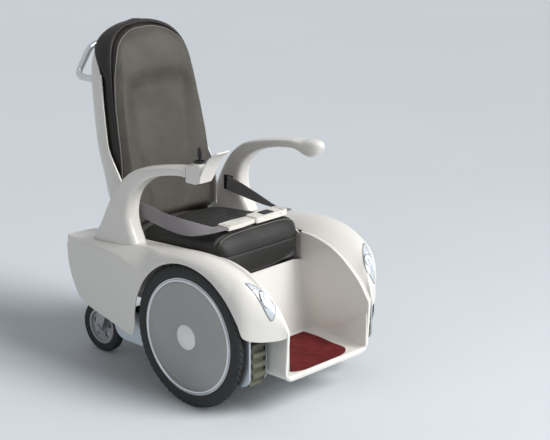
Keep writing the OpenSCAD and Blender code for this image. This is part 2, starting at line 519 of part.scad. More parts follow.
// Main wheels: rim with its hub motor drum, tyre, cover, trim ring and cap.
module wheel_side(s) side(s) translate([wheel_mid - 297, 0, 0]) children();
module wheel_rim(s) wheel_side(s) color("silver") difference() {
  turn_x(0, axle_z) polygon([[10 + run_gap, 283.2], [60, 283.2], [60, 291], [rim_r - 10, 291],
    [rim_r - 10, 285],
    [rim_r, 285], [rim_r, 308], [rim_r - 10, 308], [rim_r - 10, 297], [60, 297], [60, 304], [34, 304],
    [34, 308], [18, 308], [18, 306],
    [10 + run_gap, 306]]);
  for (a = [0:60:300]) translate([280, (rim_r + 50) / 2 * cos(a), axle_z + (rim_r
    + 50) / 2 * sin(a)]) rotate([0, 90, 0])
    cylinder(r = (rim_r - 116) / 2, h = 30);
}
module wheel_tyre(s) side(s) color("black") turn_x(0, axle_z) let(h = tyre_w / 2, r = wheel_r)
  polygon([[rim_r, wheel_mid - h * 0.7], [r - 35, wheel_mid - h * 0.9], [r - 20, wheel_mid - h],
    [r - 9, wheel_mid - h * 0.93],
    [r - 3, wheel_mid - h * 0.66], [r, wheel_mid - h * 0.4], [r, wheel_mid - h * 0.16], [r - 3,
    wheel_mid - h * 0.12],
    [r - 3, wheel_mid + h * 0.12], [r, wheel_mid + h * 0.16], [r, wheel_mid + h * 0.4], [r - 3,
    wheel_mid + h * 0.66],
    [r - 9, wheel_mid + h * 0.93], [r - 20, wheel_mid + h], [r - 35, wheel_mid + h * 0.9], [rim_r,
    wheel_mid + h * 0.7]]);
module wheel_cover(s) wheel_side(s) color("gray") turn_x(0, axle_z)
  polygon([[24, 308], [cover_r, 308], [cover_r, 310], [cover_r * 0.75, 312], [hub_cap_r + 2, 313], [24,
    313]]);
module trim_ring(s) wheel_side(s) color("silver") turn_x(0, axle_z)
  polygon([[cover_r, 308], [cover_r + 9, 308], [cover_r + 9, 310], [cover_r + 7, 312], [cover_r + 3,
    312.4], [cover_r, 311]]);
module hub_cap(s) wheel_side(s) color("white") turn_x(0, axle_z)
  polygon([[0, 313], [hub_cap_r, 313], [hub_cap_r * 0.95, 315.5], [hub_cap_r * 0.75, 318.5],
    [hub_cap_r * 0.45, 320.3],
    [0, 321]]);
module wheel_rim_right() wheel_rim(-1);
module wheel_rim_left() wheel_rim(1);
module wheel_tyre_right() wheel_tyre(-1);
module wheel_tyre_left() wheel_tyre(1);
module wheel_cover_right() wheel_cover(-1);
module wheel_cover_left() wheel_cover(1);
module trim_ring_right() trim_ring(-1);
module trim_ring_left() trim_ring(1);
module hub_cap_right() hub_cap(-1);
module hub_cap_left() hub_cap(1);

// Casters: swivelling fork with its axle bolt, hub and tyre.
module caster_fork(s) side(s) color("gray") {
  translate([caster_x, caster_y, fork_top - 8]) cylinder(r = 12, h = 44);
  translate([caster_x, caster_y, fork_top - 8]) cylinder(r = 20, h = 8 - side_gap);
  box(caster_x - 27, caster_x + 27, caster_y - 22, caster_y + 28, fork_top - 20, fork_top - 6);
  for (k = [-1, 1]) yz(caster_x + k * 24 - 3, caster_x + k * 24 + 3) union() {
    polygon([[caster_y - 22, fork_top - 14], [caster_y + 28, fork_top - 14], [caster_axle_y + 15,
      caster_r + 8], [caster_axle_y - 15, caster_r - 4]]);
    translate([caster_axle_y, caster_r]) circle(r = 16);
  }
  rod_x(caster_x - 30, caster_x + 30, 6, caster_axle_y, caster_r);
  for (k = [-1, 1]) rod_x(caster_x + k * 29 - 2.5, caster_x + k * 29 + 2.5, 10, caster_axle_y, caster_r);
}
module caster_hub(s) side(s) color("silver") difference() {
  turn_x(caster_axle_y, caster_r) polygon([[6 + run_gap, caster_x - 20.5], [15, caster_x - 20.5], [17,
    caster_x - 5],
    [caster_hub_r - 10, caster_x - 5], [caster_hub_r - 8, caster_x - 13], [caster_hub_r, caster_x - 13],
    [caster_hub_r, caster_x + 13], [caster_hub_r - 8, caster_x + 13], [caster_hub_r - 10, caster_x + 5],
    [17, caster_x + 5], [15, caster_x + 20.5], [6 + run_gap, caster_x + 20.5]]);
  for (a = [18:72:306]) let(d = (caster_hub_r + 8) / 2)
    translate([caster_x - 20, caster_axle_y + d * cos(a), caster_r + d * sin(a)])
    rotate([0, 90, 0]) cylinder(r = (caster_hub_r - 36) / 2, h = 40);
}
module caster_tyre(s) side(s) color("black") turn_x(caster_axle_y, caster_r) let(h = caster_w / 2,
  r = caster_r)
  polygon([[caster_hub_r, caster_x - h * 0.8], [r - 14, caster_x - h], [r - 5, caster_x - h * 0.88], [r,
    caster_x - h * 0.5],
    [r, caster_x + h * 0.5], [r - 5, caster_x + h * 0.88], [r - 14, caster_x + h], [caster_hub_r,
    caster_x + h * 0.8]]);
module caster_fork_right() caster_fork(-1);
module caster_fork_left() caster_fork(1);
module caster_hub_right() caster_hub(-1);
module caster_hub_left() caster_hub(1);
module caster_tyre_right() caster_tyre(-1);
module caster_tyre_left() caster_tyre(1);

// Crawlers: the belt runs round a front idler, a rear sprocket and an upper shoe.
cw_c = [[-200, 146], [320, 172], [-200, axle_z + 50]];
cw_r = [22, 32, 22];
// Tangent points from circle i to the next one, both grown by k, and the length between them.
function next3(i) = (i + 1) % 3;
function out_n(i) = let(d = cw_c[next3(i)] - cw_c[i], l = norm(d), u = d / l,
  e = (cw_r[i] - cw_r[next3(i)]) / l)
  u * e + [u[1], -u[0]] * sqrt(1 - e * e);
function tan_a(i, k) = cw_c[i] + out_n(i) * (cw_r[i] + k);
function tan_b(i, k) = cw_c[next3(i)] + out_n(i) * (cw_r[next3(i)] + k);
module loop(k) {
  polygon([for (i = [0:2]) each [tan_a(i, k), tan_b(i, k)]]);
  for (i = [0:2]) translate(cw_c[i]) circle(r = cw_r[i] + k);
}
belt_in = 0.3;
belt_out = belt_in + belt_t;
function ang(v) = atan2(v[1], v[0]);
function turn_of(i) = let(a = ang(out_n(next3(i))) - ang(out_n(i))) a < 0 ? a + 360 : a;
function line_len(i) = norm(tan_b(i, belt_out) - tan_a(i, belt_out));
function arc_len(i) = turn_of(i) * PI / 180 * (cw_r[next3(i)] + belt_out);
belt_len = line_len(0) + arc_len(0) + line_len(1) + arc_len(1) + line_len(2) + arc_len(2);
lug_n = round(belt_len / 31.5);
// Point and outward angle at a distance along the belt's outer face.
function belt_at(s, i = 0) = s <= line_len(i) || i > 2
  ? [tan_a(i, belt_out) + (tan_b(i, belt_out) - tan_a(i, belt_out)) * s / line_len(i), ang(out_n(i))]
  : s <= line_len(i) + arc_len(i)
  ? let(a = ang(out_n(i)) + (s - line_len(i)) / arc_len(i) * turn_of(i))
    [cw_c[next3(i)] + (cw_r[next3(i)] + belt_out) * [cos(a), sin(a)], a]
  : belt_at(s - line_len(i) - arc_len(i), i + 1);
module track_belt(s) side(s) color("darkolivegreen") yz(track_mid - track_w / 2, track_mid
  + track_w / 2) union() {
  difference() {
    loop(belt_out);
    loop(belt_in);
  }
  for (k = [0:lug_n - 1]) let(q = belt_at((k + 0.5) * belt_len / lug_n)) translate(q[0]) rotate(q[1])
    translate([-2, -lug_l / 2]) square([lug_h + 2, lug_l]);
}
module crawler_frame(s) side(s) color("lightsteelblue") difference() {
  union() {
    yz(track_mid + 33, track_mid + 41) loop(13);
    yz(track_mid - 40, track_mid - 34) loop(9);
    rod_x(track_mid - 35, track_mid + 34, 24, 0, axle_z);
    rod_x(track_mid - 35, track_mid + 34, 8, cw_c[0][0], cw_c[0][1]);
    rod_x(track_mid - 35, track_mid + 34, 22, cw_c[2][0], cw_c[2][1]);
  }
  rod_x(track_mid - 50, track_mid + 50, 16 + run_gap, 0, axle_z);
  rod_x(track_mid - 50, track_mid + 39.5, 10 + run_gap, cw_c[1][0], cw_c[1][1]);
  for (y = [-95, 110, 205]) yz(track_mid - 50, track_mid + 50) translate([y, 196]) circle(r = 26);
}
module crawler_cross_tube() color("lightsteelblue") rod_x(40 - track_mid, track_mid - 40, 14, 160, 184);
module track_gearmotor() color("dimgray") difference() {
  union() {
    rod_x(-75, 75, 36, cw_c[1][0], cw_c[1][1]);
    rod_x(-20, 20, 22, 160, 184);
    box(-20, 20, 165, 300, 168, 192);
  }
  rod_x(-90, 90, 10 + run_gap, cw_c[1][0], cw_c[1][1]);
  rod_x(-90, 90, 14, 160, 184);
}
module track_sprockets() color("gray") for (s = [-1, 1]) side(s) difference() {
  rod_x(track_mid - 27, track_mid + 27, cw_r[1], cw_c[1][0], cw_c[1][1]);
  rod_x(track_mid - 40, track_mid + 40, 10, cw_c[1][0], cw_c[1][1]);
  for (a = [0:60:300]) rod_x(track_mid - 40, track_mid + 40, 5, cw_c[1][0] + 21 * cos(a), cw_c[1][1]
    + 21 * sin(a));
}
module track_drive_shaft() color("silver") rod_x(-track_mid - 39, track_mid + 39, 10, cw_c[1][0],
  cw_c[1][1]);
module idler(s) side(s) color("gray") difference() {
  rod_x(track_mid - 27, track_mid + 27, cw_r[0], cw_c[0][0], cw_c[0][1]);
  rod_x(track_mid - 40, track_mid + 40, 8 + run_gap, cw_c[0][0], cw_c[0][1]);
}
module idler_right() idler(-1);
module idler_left() idler(1);
module crawler_frame_right() crawler_frame(-1);
module crawler_frame_left() crawler_frame(1);
module track_belt_right() track_belt(-1);
module track_belt_left() track_belt(1);

placed() chassis_frame();
placed() stub_axles();
placed() footwell_tub();
placed() foot_mat();
placed() fender_right();
placed() fender_left();
placed() rear_body();
placed() headlamp_reflectors();
placed() headlamp_lenses();
placed() seat_pan();
placed() seat_cushion();
placed() armrest_right();
placed() armrest_left();
placed() belt_anchors();
placed() belt_strap_right();
placed() belt_strap_left();
placed() belt_tongue();
placed() belt_buckle();
placed() buckle_button();
placed() battery_pack();
placed() control_box();
placed() backrest_frame();
placed() backrest_shell();
placed() backrest_cushion();
placed() push_handle();
placed() recline_pins();
placed() pod_hinge_pin();
placed() joystick_pod();
placed() hand_guard();
placed() joystick_collar();
placed() joystick_gimbal();
placed() joystick_stick();
placed() wheel_rim_right();
placed() wheel_tyre_right();
placed() wheel_cover_right();
placed() trim_ring_right();
placed() hub_cap_right();
placed() wheel_rim_left();
placed() wheel_tyre_left();
placed() wheel_cover_left();
placed() trim_ring_left();
placed() hub_cap_left();
placed() caster_fork_right();
placed() caster_hub_right();
placed() caster_tyre_right();
placed() caster_fork_left();
placed() caster_hub_left();
placed() caster_tyre_left();
placed() crawler_frame_right();
placed() crawler_frame_left();
placed() crawler_cross_tube();
placed() track_gearmotor();
placed() track_belt_right();
placed() track_belt_left();
placed() track_sprockets();
placed() track_drive_shaft();
placed() idler_right();
placed() idler_left();
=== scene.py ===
"""Looks of a stair climbing wheelchair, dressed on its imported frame."""
import json
import logging
import math
from dataclasses import dataclass
from enum import Enum
from itertools import cycle
from typing import Callable, Optional, Sequence

import bpy
from mathutils import Matrix, Vector

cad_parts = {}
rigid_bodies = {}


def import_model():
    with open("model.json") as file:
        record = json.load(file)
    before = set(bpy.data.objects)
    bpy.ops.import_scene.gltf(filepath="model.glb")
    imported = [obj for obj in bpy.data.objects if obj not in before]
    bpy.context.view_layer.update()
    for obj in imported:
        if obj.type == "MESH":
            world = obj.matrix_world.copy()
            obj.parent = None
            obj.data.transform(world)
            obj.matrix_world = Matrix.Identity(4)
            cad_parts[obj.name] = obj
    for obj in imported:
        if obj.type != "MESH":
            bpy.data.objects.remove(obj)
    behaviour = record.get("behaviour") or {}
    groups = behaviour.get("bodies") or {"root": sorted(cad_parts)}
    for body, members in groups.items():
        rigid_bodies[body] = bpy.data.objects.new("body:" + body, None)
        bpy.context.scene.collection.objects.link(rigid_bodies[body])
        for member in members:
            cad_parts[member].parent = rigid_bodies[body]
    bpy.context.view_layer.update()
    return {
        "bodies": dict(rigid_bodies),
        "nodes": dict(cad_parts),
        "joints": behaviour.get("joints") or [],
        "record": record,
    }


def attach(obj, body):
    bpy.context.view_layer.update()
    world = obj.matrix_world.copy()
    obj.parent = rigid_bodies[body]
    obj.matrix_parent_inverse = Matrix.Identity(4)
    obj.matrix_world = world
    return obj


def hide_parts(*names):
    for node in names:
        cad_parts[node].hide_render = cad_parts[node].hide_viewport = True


LOG = logging.getLogger("wheelchair")
MM = 0.001
# Main axle in the row frame: Y in metres, Z in millimetres.
AXLE_Y = -0.1775
AXLE_Z = 225.0
# Half width of the body between the fenders.
BODY_X = 190.0
QUARTER = math.pi / 2
# Edges of a sheet's rim that are sharper than this are rounded.
RIM_ANGLE = 60.0
FILL_PRESSURE = 4.0
FILL_FRAMES = 20

Pair = tuple[float, float]
Point = tuple[float, float, float]
Mark = tuple[float, float, float, float]
Table = Sequence[Pair]
Line = Sequence[Pair]
Color = tuple[float, float, float]
Socket = bpy.types.NodeSocket
Piece = bpy.types.Object

UP: Point = (0.0, 0.0, 1.0)

# Fender: crown, inner edge, outer half width and shoulder radii along Y.
CROWN: Table = (
    (-308, 289), (-298, 320), (-288, 340), (-272, 368), (-250, 400), (-208, 436), (-160, 461),
    (-110, 477), (-60, 485), (0, 486), (60, 481), (131, 471), (200, 461), (300, 448), (415, 437),
    (572, 428))
INNER: Table = (
    (-308, 283), (-285, 318), (-263, 347), (-225, 381), (-190, 408), (-147, 431), (-100, 446),
    (-63, 453), (-30, 455), (50, 454), (150, 449), (300, 440), (450, 431), (572, 424))
OUTER: Table = (
    (-308, 192), (-298, 205), (-285, 226), (-270, 250), (-254, 272), (-240, 289), (-220, 304),
    (-190, 312.5), (-120, 316), (250, 316), (380, 314), (480, 311), (540, 306), (572, 296))
SHOULDER_X: Table = (
    (-308, 1), (-285, 22), (-250, 42), (-200, 48), (-100, 46), (100, 44), (220, 44), (300, 32),
    (415, 15), (480, 11), (572, 7))
SHOULDER_Z: Table = (
    (-308, 5), (-285, 38), (-250, 66), (-200, 76), (-120, 80), (171, 88), (220, 66), (300, 32),
    (415, 9), (480, 7), (572, 5))
REAR_EDGE: Sequence[Point] = (
    (570, 570, 394), (562, 566, 352), (542, 549, 310), (510, 518, 258), (478, 489, 227),
    (442, 450, 214), (396, 400, 202), (350, 350, 191), (310, 303, 179), (284, 271, 171.5),
    (266, 251, 170), (253, 237, 179))
FRONT_EDGE: Sequence[Point] = (
    (-238, -236, 270), (-256, -254, 264), (-272, -270, 262), (-287, -285, 262), (-299, -298, 264),
    (-307, -306.5, 270))
# Seat: top line, half width and lower edge along Y.
SEAT_TOP: Table = (
    (-27, 426), (-23, 462), (-14, 485), (-2, 497), (12, 503), (30, 504), (60, 501), (150, 490),
    (250, 479), (330, 470), (346, 463), (355, 451), (360, 435))
SEAT_HALF: Table = (
    (-27, 118), (-23, 144), (-14, 160), (-2, 170), (20, 176), (330, 176), (360, 168))
SEAT_LOW: Table = ((-27, 404), (-23, 382), (-14, 371), (-2, 369), (1, 369), (3, 398), (374, 398))
# Arm: upper line, lower line, middle X and half width by station.
ARM_UP_Y: Table = tuple(enumerate((
    468, 448, 425, 402, 379, 354, 325, 288, 248, 204, 158, 108, 57.5)))
ARM_UP_Z: Table = tuple(enumerate((
    438, 464, 502, 548, 588, 624, 655, 682, 699, 711, 721, 730, 737)))
ARM_LOW_Y: Table = tuple(enumerate((
    259, 268, 286, 297, 299, 294, 281, 259, 231, 196, 154, 108, 57.5)))
ARM_LOW_Z: Table = tuple(enumerate((
    448, 466, 496, 527, 556, 586, 614, 638, 659, 677, 691, 701, 707)))
ARM_X: Table = ((0, 251), (3, 247), (6, 241), (12, 238))
ARM_HALF: Table = ((0, 36), (3, 33), (6, 30), (12, 29))
KNOB: Sequence[Mark] = (
    (57.5, 722, 15, 29), (40, 721, 16, 29), (22, 718, 20, 29), (6, 716, 25, 28.5),
    (-8, 716, 28, 28), (-24, 719, 26, 26), (-38, 724, 20, 22), (-48, 729, 13, 16), (-54, 732, 6, 9))
# Backrest: half width and shell depth along Z.
BACK_HALF: Table = (
    (452, 182), (500, 194), (560, 202), (650, 204), (800, 197), (930, 184), (1000, 168),
    (1040, 146), (1066, 114), (1082, 70), (1089, 24))
SHELL_DEPTH: Table = (
    (470, 88), (500, 100), (556, 106), (700, 103), (915, 97), (970, 88), (1020, 70), (1055, 50),
    (1080, 28), (1090, 14))
# Straps: X, Y, Z and tilt; 90 stands the strap on edge.
STRAP_RIGHT: Sequence[Mark] = (
    (-203.95, 339, 542, 90), (-200, 290, 537, 91), (-196, 220, 525, 95), (-190, 150, 518, 110),
    (-182, 95, 517, 138), (-170, 48, 521, 165), (-150, 26, 526, 180), (-122, 26, 526, 180))
STRAP_LEFT: Sequence[Mark] = (
    (203.95, 339, 542, 90), (199, 275, 535, 82), (191, 200, 526, 66), (182, 130, 520, 48),
    (171, 78, 521, 30), (164, 50, 524.5, 16), (155, 34, 525.6, 6), (144, 27.5, 526, 0),
    (131, 26, 526, 0))


def at(x: float, y: float, z: float) -> Vector:
    """Row-frame point, in metres, of millimetres from the axle line and the floor."""
    return Vector((x * MM, y * MM + AXLE_Y, z * MM))


def curve(table: Table, x: float) -> float:
    """Smooth curve through a table sorted by its first column.

    Args:
        table: Pairs of position and value.
        x: Position, held inside the table's range.

    Returns:
        The value at x.
    """
    i = 0
    while i < len(table) - 2 and x > table[i + 1][0]:
        i += 1

    def slope(k: int) -> float:
        """Slope of the curve at point k."""
        a, b = table[max(0, k - 1)], table[min(len(table) - 1, k + 1)]
        return (b[1] - a[1]) / (b[0] - a[0])

    h = table[i + 1][0] - table[i][0]
    u = min(1.0, max(0.0, (x - table[i][0]) / h))
    return ((2 * u ** 3 - 3 * u ** 2 + 1) * table[i][1] + (u ** 3 - 2 * u ** 2 + u) * h * slope(i)
            + (3 * u ** 2 - 2 * u ** 3) * table[i + 1][1] + (u ** 3 - u ** 2) * h * slope(i + 1))


def spow(v: float, p: float) -> float:
    """Power that keeps the sign."""
    return math.copysign(abs(v) ** p, v)


def bump(x: float, w: float) -> float:
    """Smooth hump, 1 at zero and 0 from w on."""
    return 0.0 if abs(x) >= w else (1 + math.cos(math.pi * x / w)) / 2


def ease(a: float, b: float, x: float) -> float:
    """Smooth step from 0 at a to 1 at b."""
    u = min(1.0, max(0.0, (x - a) / (b - a)))
    return u * u * (3 - 2 * u)


def slow(t: float, power: float) -> float:
    """Share t of the way, slowing down towards the end."""
    return 1 - (1 - t) ** power


def span(lo: float, hi: float, steps: int) -> list[float]:
    """Values at even steps from lo to hi, both included."""
    return [lo + (hi - lo) * k / steps for k in range(steps + 1)]


def turns(steps: int) -> list[float]:
    """Angles at even steps round a full turn."""
    return [2 * math.pi * k / steps for k in range(steps)]


def half_turn(steps: int) -> list[float]:
    """Angles at even steps from a half turn back to zero."""
    return [math.pi * (1 - k / steps) for k in range(steps + 1)]


def evenly(line: Line, steps: int) -> list[Pair]:
    """Points at even steps along a line of two or more points.

    Args:
        line: The points that the line runs through.
        steps: How many steps to make.

    Returns:
        One point more than there are steps.
    """
    run = [0.0]
    for a, b in zip(line, line[1:]):
        run.append(run[-1] + math.dist(a, b))
    out = []
    for k in range(steps + 1):
        want = run[-1] * k / steps
        i = next((i for i in range(len(run) - 2) if run[i + 1] >= want), len(run) - 2)
        t = (want - run[i]) / max(1e-9, run[i + 1] - run[i])
        out.append(tuple(a + (b - a) * t for a, b in zip(line[i], line[i + 1])))
    return out


def back_y(z: float) -> float:
    """Y of the backrest's plane at height z."""
    return 430 + 0.204 * (z - 425)


class Side(Enum):
    """Occupant's right or left, as the sign of X."""

    RIGHT = -1
    LEFT = 1

    @property
    def word(self) -> str:
        """The side's name as it stands in a piece's name."""
        return self.name.lower()

    def place(self, points: Sequence[Point]) -> list[Point]:
        """Points of the left side as they lie on this side."""
        return [(self.value * x, y, z) for x, y, z in points]


class Axis(Enum):
    """Axis along which an outline is extruded, or about which it is turned."""

    X = 0
    Z = 2

    def place(self, a: float, b: float, c: float) -> Point:
        """Outline point (a, b) at distance c along the axis."""
        return (c, a, b) if self is Axis.X else (a, b, c)


def clear_selection() -> None:
    """Leaves edit mode and deselects everything."""
    if bpy.context.mode != "OBJECT":
        bpy.ops.object.mode_set(mode="OBJECT")
    bpy.ops.object.select_all(action="DESELECT")


def select_only(piece: Piece) -> None:
    """Makes one piece the selected and active one.

    Args:
        piece: Piece to select.
    """
    clear_selection()
    piece.select_set(True)
    bpy.context.view_layer.objects.active = piece


def settle(piece: Piece, face_from: Optional[Vector] = None) -> None:
    """Merges doubles and turns the faces outwards.

    Args:
        piece: Mesh to settle.
        face_from: For an open sheet, the point that its faces look away from.
    """
    select_only(piece)
    bpy.ops.object.mode_set(mode="EDIT")
    bpy.ops.mesh.select_all(action="SELECT")
    bpy.ops.mesh.remove_doubles(threshold=0.01 * MM)
    bpy.ops.mesh.normals_make_consistent(inside=False)
    if face_from is not None:
        bpy.ops.object.mode_set(mode="OBJECT")
        away = sum(p.area * p.normal.dot((p.center - face_from).normalized())
                   for p in piece.data.polygons)
        if away < 0:
            bpy.ops.object.mode_set(mode="EDIT")
            bpy.ops.mesh.flip_normals()
    bpy.ops.object.mode_set(mode="OBJECT")


def loft(name: str, rings: Sequence[Sequence[Point]], wrap: bool = False,
         face_from: Optional[Vector] = None) -> Piece:
    """Moves a grid primitive onto rows of points.

    Args:
        name: Name of the new piece.
        rings: Rows of points, in millimetres from the axle line.
        wrap: True if each row is a closed ring.
        face_from: For an open sheet, the point that its faces look away from.

    Returns:
        The new piece.
    """
    rows = [list(r) + ([r[0]] if wrap else []) for r in rings]
    across, along = len(rows[0]) - 1, len(rows) - 1
    clear_selection()
    bpy.ops.mesh.primitive_grid_add(x_subdivisions=across, y_subdivisions=along, size=1.0)
    piece = bpy.context.object
    piece.name = piece.data.name = name
    flat = []
    for v in piece.data.vertices:
        flat.extend(at(*rows[round((v.co.y + 0.5) * along)][round((v.co.x + 0.5) * across)]))
    piece.data.vertices.foreach_set("co", flat)
    settle(piece, face_from)
    return piece


def capped(rings: Sequence[Sequence[Point]]) -> list[list[Point]]:
    """Rings with both ends drawn to a point, so that the loft is closed.

    Args:
        rings: Rings of the loft.

    Returns:
        The rings with an end ring before and after them.
    """
    def middle(ring: Sequence[Point]) -> list[Point]:
        """A ring of the same length at the middle of ring."""
        n = len(ring)
        return [tuple(sum(p[k] for p in ring) / n for k in range(3))] * n
    return [middle(rings[0]), *map(list, rings), middle(rings[-1])]


def lathe(name: str, profile: Line, middle: Pair, axis: Axis, steps: int = 40) -> Piece:
    """Turned piece about an axis.

    Args:
        name: Name of the new piece.
        profile: Closed outline as radius and place along the axis.
        middle: Place of the axis, YZ for X and XY for Z.
        axis: Axis of the turning.
        steps: Faces round the axis.

    Returns:
        The new piece.
    """
    a, b = middle
    return loft(name, [[axis.place(a + r * math.cos(t), b + r * math.sin(t), c)
                        for t in turns(steps)] for r, c in profile], True)


def rounded(outline: Line, radius: float, steps: int = 4, closed: bool = True) -> list[Pair]:
    """Outline with its corners rounded.

    Args:
        outline: Corner points in order.
        radius: Radius, made smaller where an edge is short.
        steps: Points on each corner, less one.
        closed: True if the last point joins the first.

    Returns:
        The new points.
    """
    out = []
    n = len(outline)
    for i, p in enumerate(outline):
        if not closed and i in (0, n - 1):
            out.append(tuple(p))
            continue
        c, a, b = Vector(p), Vector(outline[i - 1]), Vector(outline[(i + 1) % n])
        u, w = a - c, b - c
        reach = min(radius, 0.45 * u.length, 0.45 * w.length)
        s, e = c + u.normalized() * reach, c + w.normalized() * reach
        for t in span(0.0, 1.0, steps):
            q = s * (1 - t) ** 2 + c * 2 * t * (1 - t) + e * t * t
            out.append((q.x, q.y))
    return out


def tube(name: str, path: Sequence[Point], radius: float, up: Point, around: int = 12,
         closed: bool = False) -> Piece:
    """Round tube along a path.

    Args:
        name: Name of the new piece.
        path: Middle line.
        radius: Radius of the tube.
        up: Direction that the path never runs along.
        around: Faces round the tube.
        closed: True if the path is a loop.

    Returns:
        The new piece.
    """
    pts = [Vector(p) for p in path]
    n = len(pts)
    rings = []
    for i, p in enumerate(pts):
        a = pts[(i - 1) % n] if closed else pts[max(0, i - 1)]
        b = pts[(i + 1) % n] if closed else pts[min(n - 1, i + 1)]
        d = (b - a).normalized()
        u = Vector(up).cross(d).normalized()
        w = d.cross(u)
        rings.append([tuple(p + radius * (u * math.cos(t) + w * math.sin(t)))
                      for t in turns(around)])
    return loft(name, rings + [rings[0]] if closed else capped(rings), True)


def prism(name: str, outline: Line, lo: float, hi: float, axis: Axis) -> Piece:
    """Outline filled and extruded along an axis.

    Args:
        name: Name of the new piece.
        outline: Corner points, YZ for X and XY for Z.
        lo: Start along the axis.
        hi: End along the axis.
        axis: Axis of the extrusion.

    Returns:
        The new piece.
    """
    clear_selection()
    bpy.ops.mesh.primitive_circle_add(vertices=len(outline), radius=1.0, fill_type="NGON")
    piece = bpy.context.object
    piece.name = piece.data.name = name
    for v, (a, b) in zip(piece.data.vertices, outline):
        v.co = at(*axis.place(a, b, lo))
    bpy.ops.object.mode_set(mode="EDIT")
    bpy.ops.mesh.select_all(action="SELECT")
    move = Vector(axis.place(0, 0, (hi - lo) * MM))
    bpy.ops.mesh.extrude_region_move(TRANSFORM_OT_translate={"value": move})
    settle(piece)
    return piece


def block(name: str, lo: Point, hi: Point, edge: float, steps: int = 3) -> Piece:
    """Box from corner to corner with rounded edges.

    Args:
        name: Name of the new piece.
        lo: Lowest corner.
        hi: Highest corner.
        edge: Radius of the edges.
        steps: Faces across a rounded edge.

    Returns:
        The new piece.
    """
    clear_selection()
    bpy.ops.mesh.primitive_cube_add(size=1.0)
    piece = bpy.context.object
    piece.name = piece.data.name = name
    for v in piece.data.vertices:
        v.co = at(*(lo[k] if v.co[k] < 0 else hi[k] for k in range(3)))
    round_edges(piece, edge, steps)
    return piece


def finish_with(piece: Piece, kind: str, **settings: object) -> None:
    """Adds a modifier with these settings and applies it.

    Args:
        piece: Piece to change.
        kind: Type of the modifier.
        settings: Properties of the modifier.
    """
    select_only(piece)
    mod = piece.modifiers.new(kind.lower(), kind)
    for key, value in settings.items():
        setattr(mod, key, value)
    bpy.ops.object.modifier_apply(modifier=mod.name)


def thicken(piece: Piece, wall: float) -> None:
    """Gives a sheet its wall, behind its faces."""
    finish_with(piece, "SOLIDIFY", thickness=wall * MM, offset=-1.0, use_even_offset=True)


def round_edges(piece: Piece, radius: float, steps: int = 3, angle: float = 40.0) -> None:
    """Rounds the edges that are sharper than an angle in degrees."""
    finish_with(piece, "BEVEL", width=radius * MM, segments=steps, limit_method="ANGLE",
                angle_limit=math.radians(angle), use_clamp_overlap=True)


def cut(piece: Piece, tool: Piece) -> None:
    """Cuts the tool's shape out of the piece and removes the tool."""
    finish_with(piece, "BOOLEAN", operation="DIFFERENCE", object=tool, solver="EXACT")
    bpy.data.objects.remove(tool, do_unlink=True)


def joined(name: str, parts: Sequence[Piece]) -> Piece:
    """Joins parts into one piece of that name.

    Args:
        name: Name of the joined piece.
        parts: Pieces to join.

    Returns:
        The joined piece.
    """
    clear_selection()
    for p in parts:
        p.select_set(True)
    bpy.context.view_layer.objects.active = parts[0]
    if len(parts) > 1:
        bpy.ops.object.join()
    parts[0].name = parts[0].data.name = name
    return parts[0]


def copied(piece: Piece, name: str, place: Matrix) -> Piece:
    """Copy with its own mesh, moved by a matrix.

    Args:
        piece: Piece to copy.
        name: Name of the copy.
        place: Where the copy goes, applied to its mesh.

    Returns:
        The copy.
    """
    new = piece.copy()
    new.data = piece.data.copy()
    new.data.transform(place)
    new.name = new.data.name = name
    bpy.context.collection.objects.link(new)
    return new


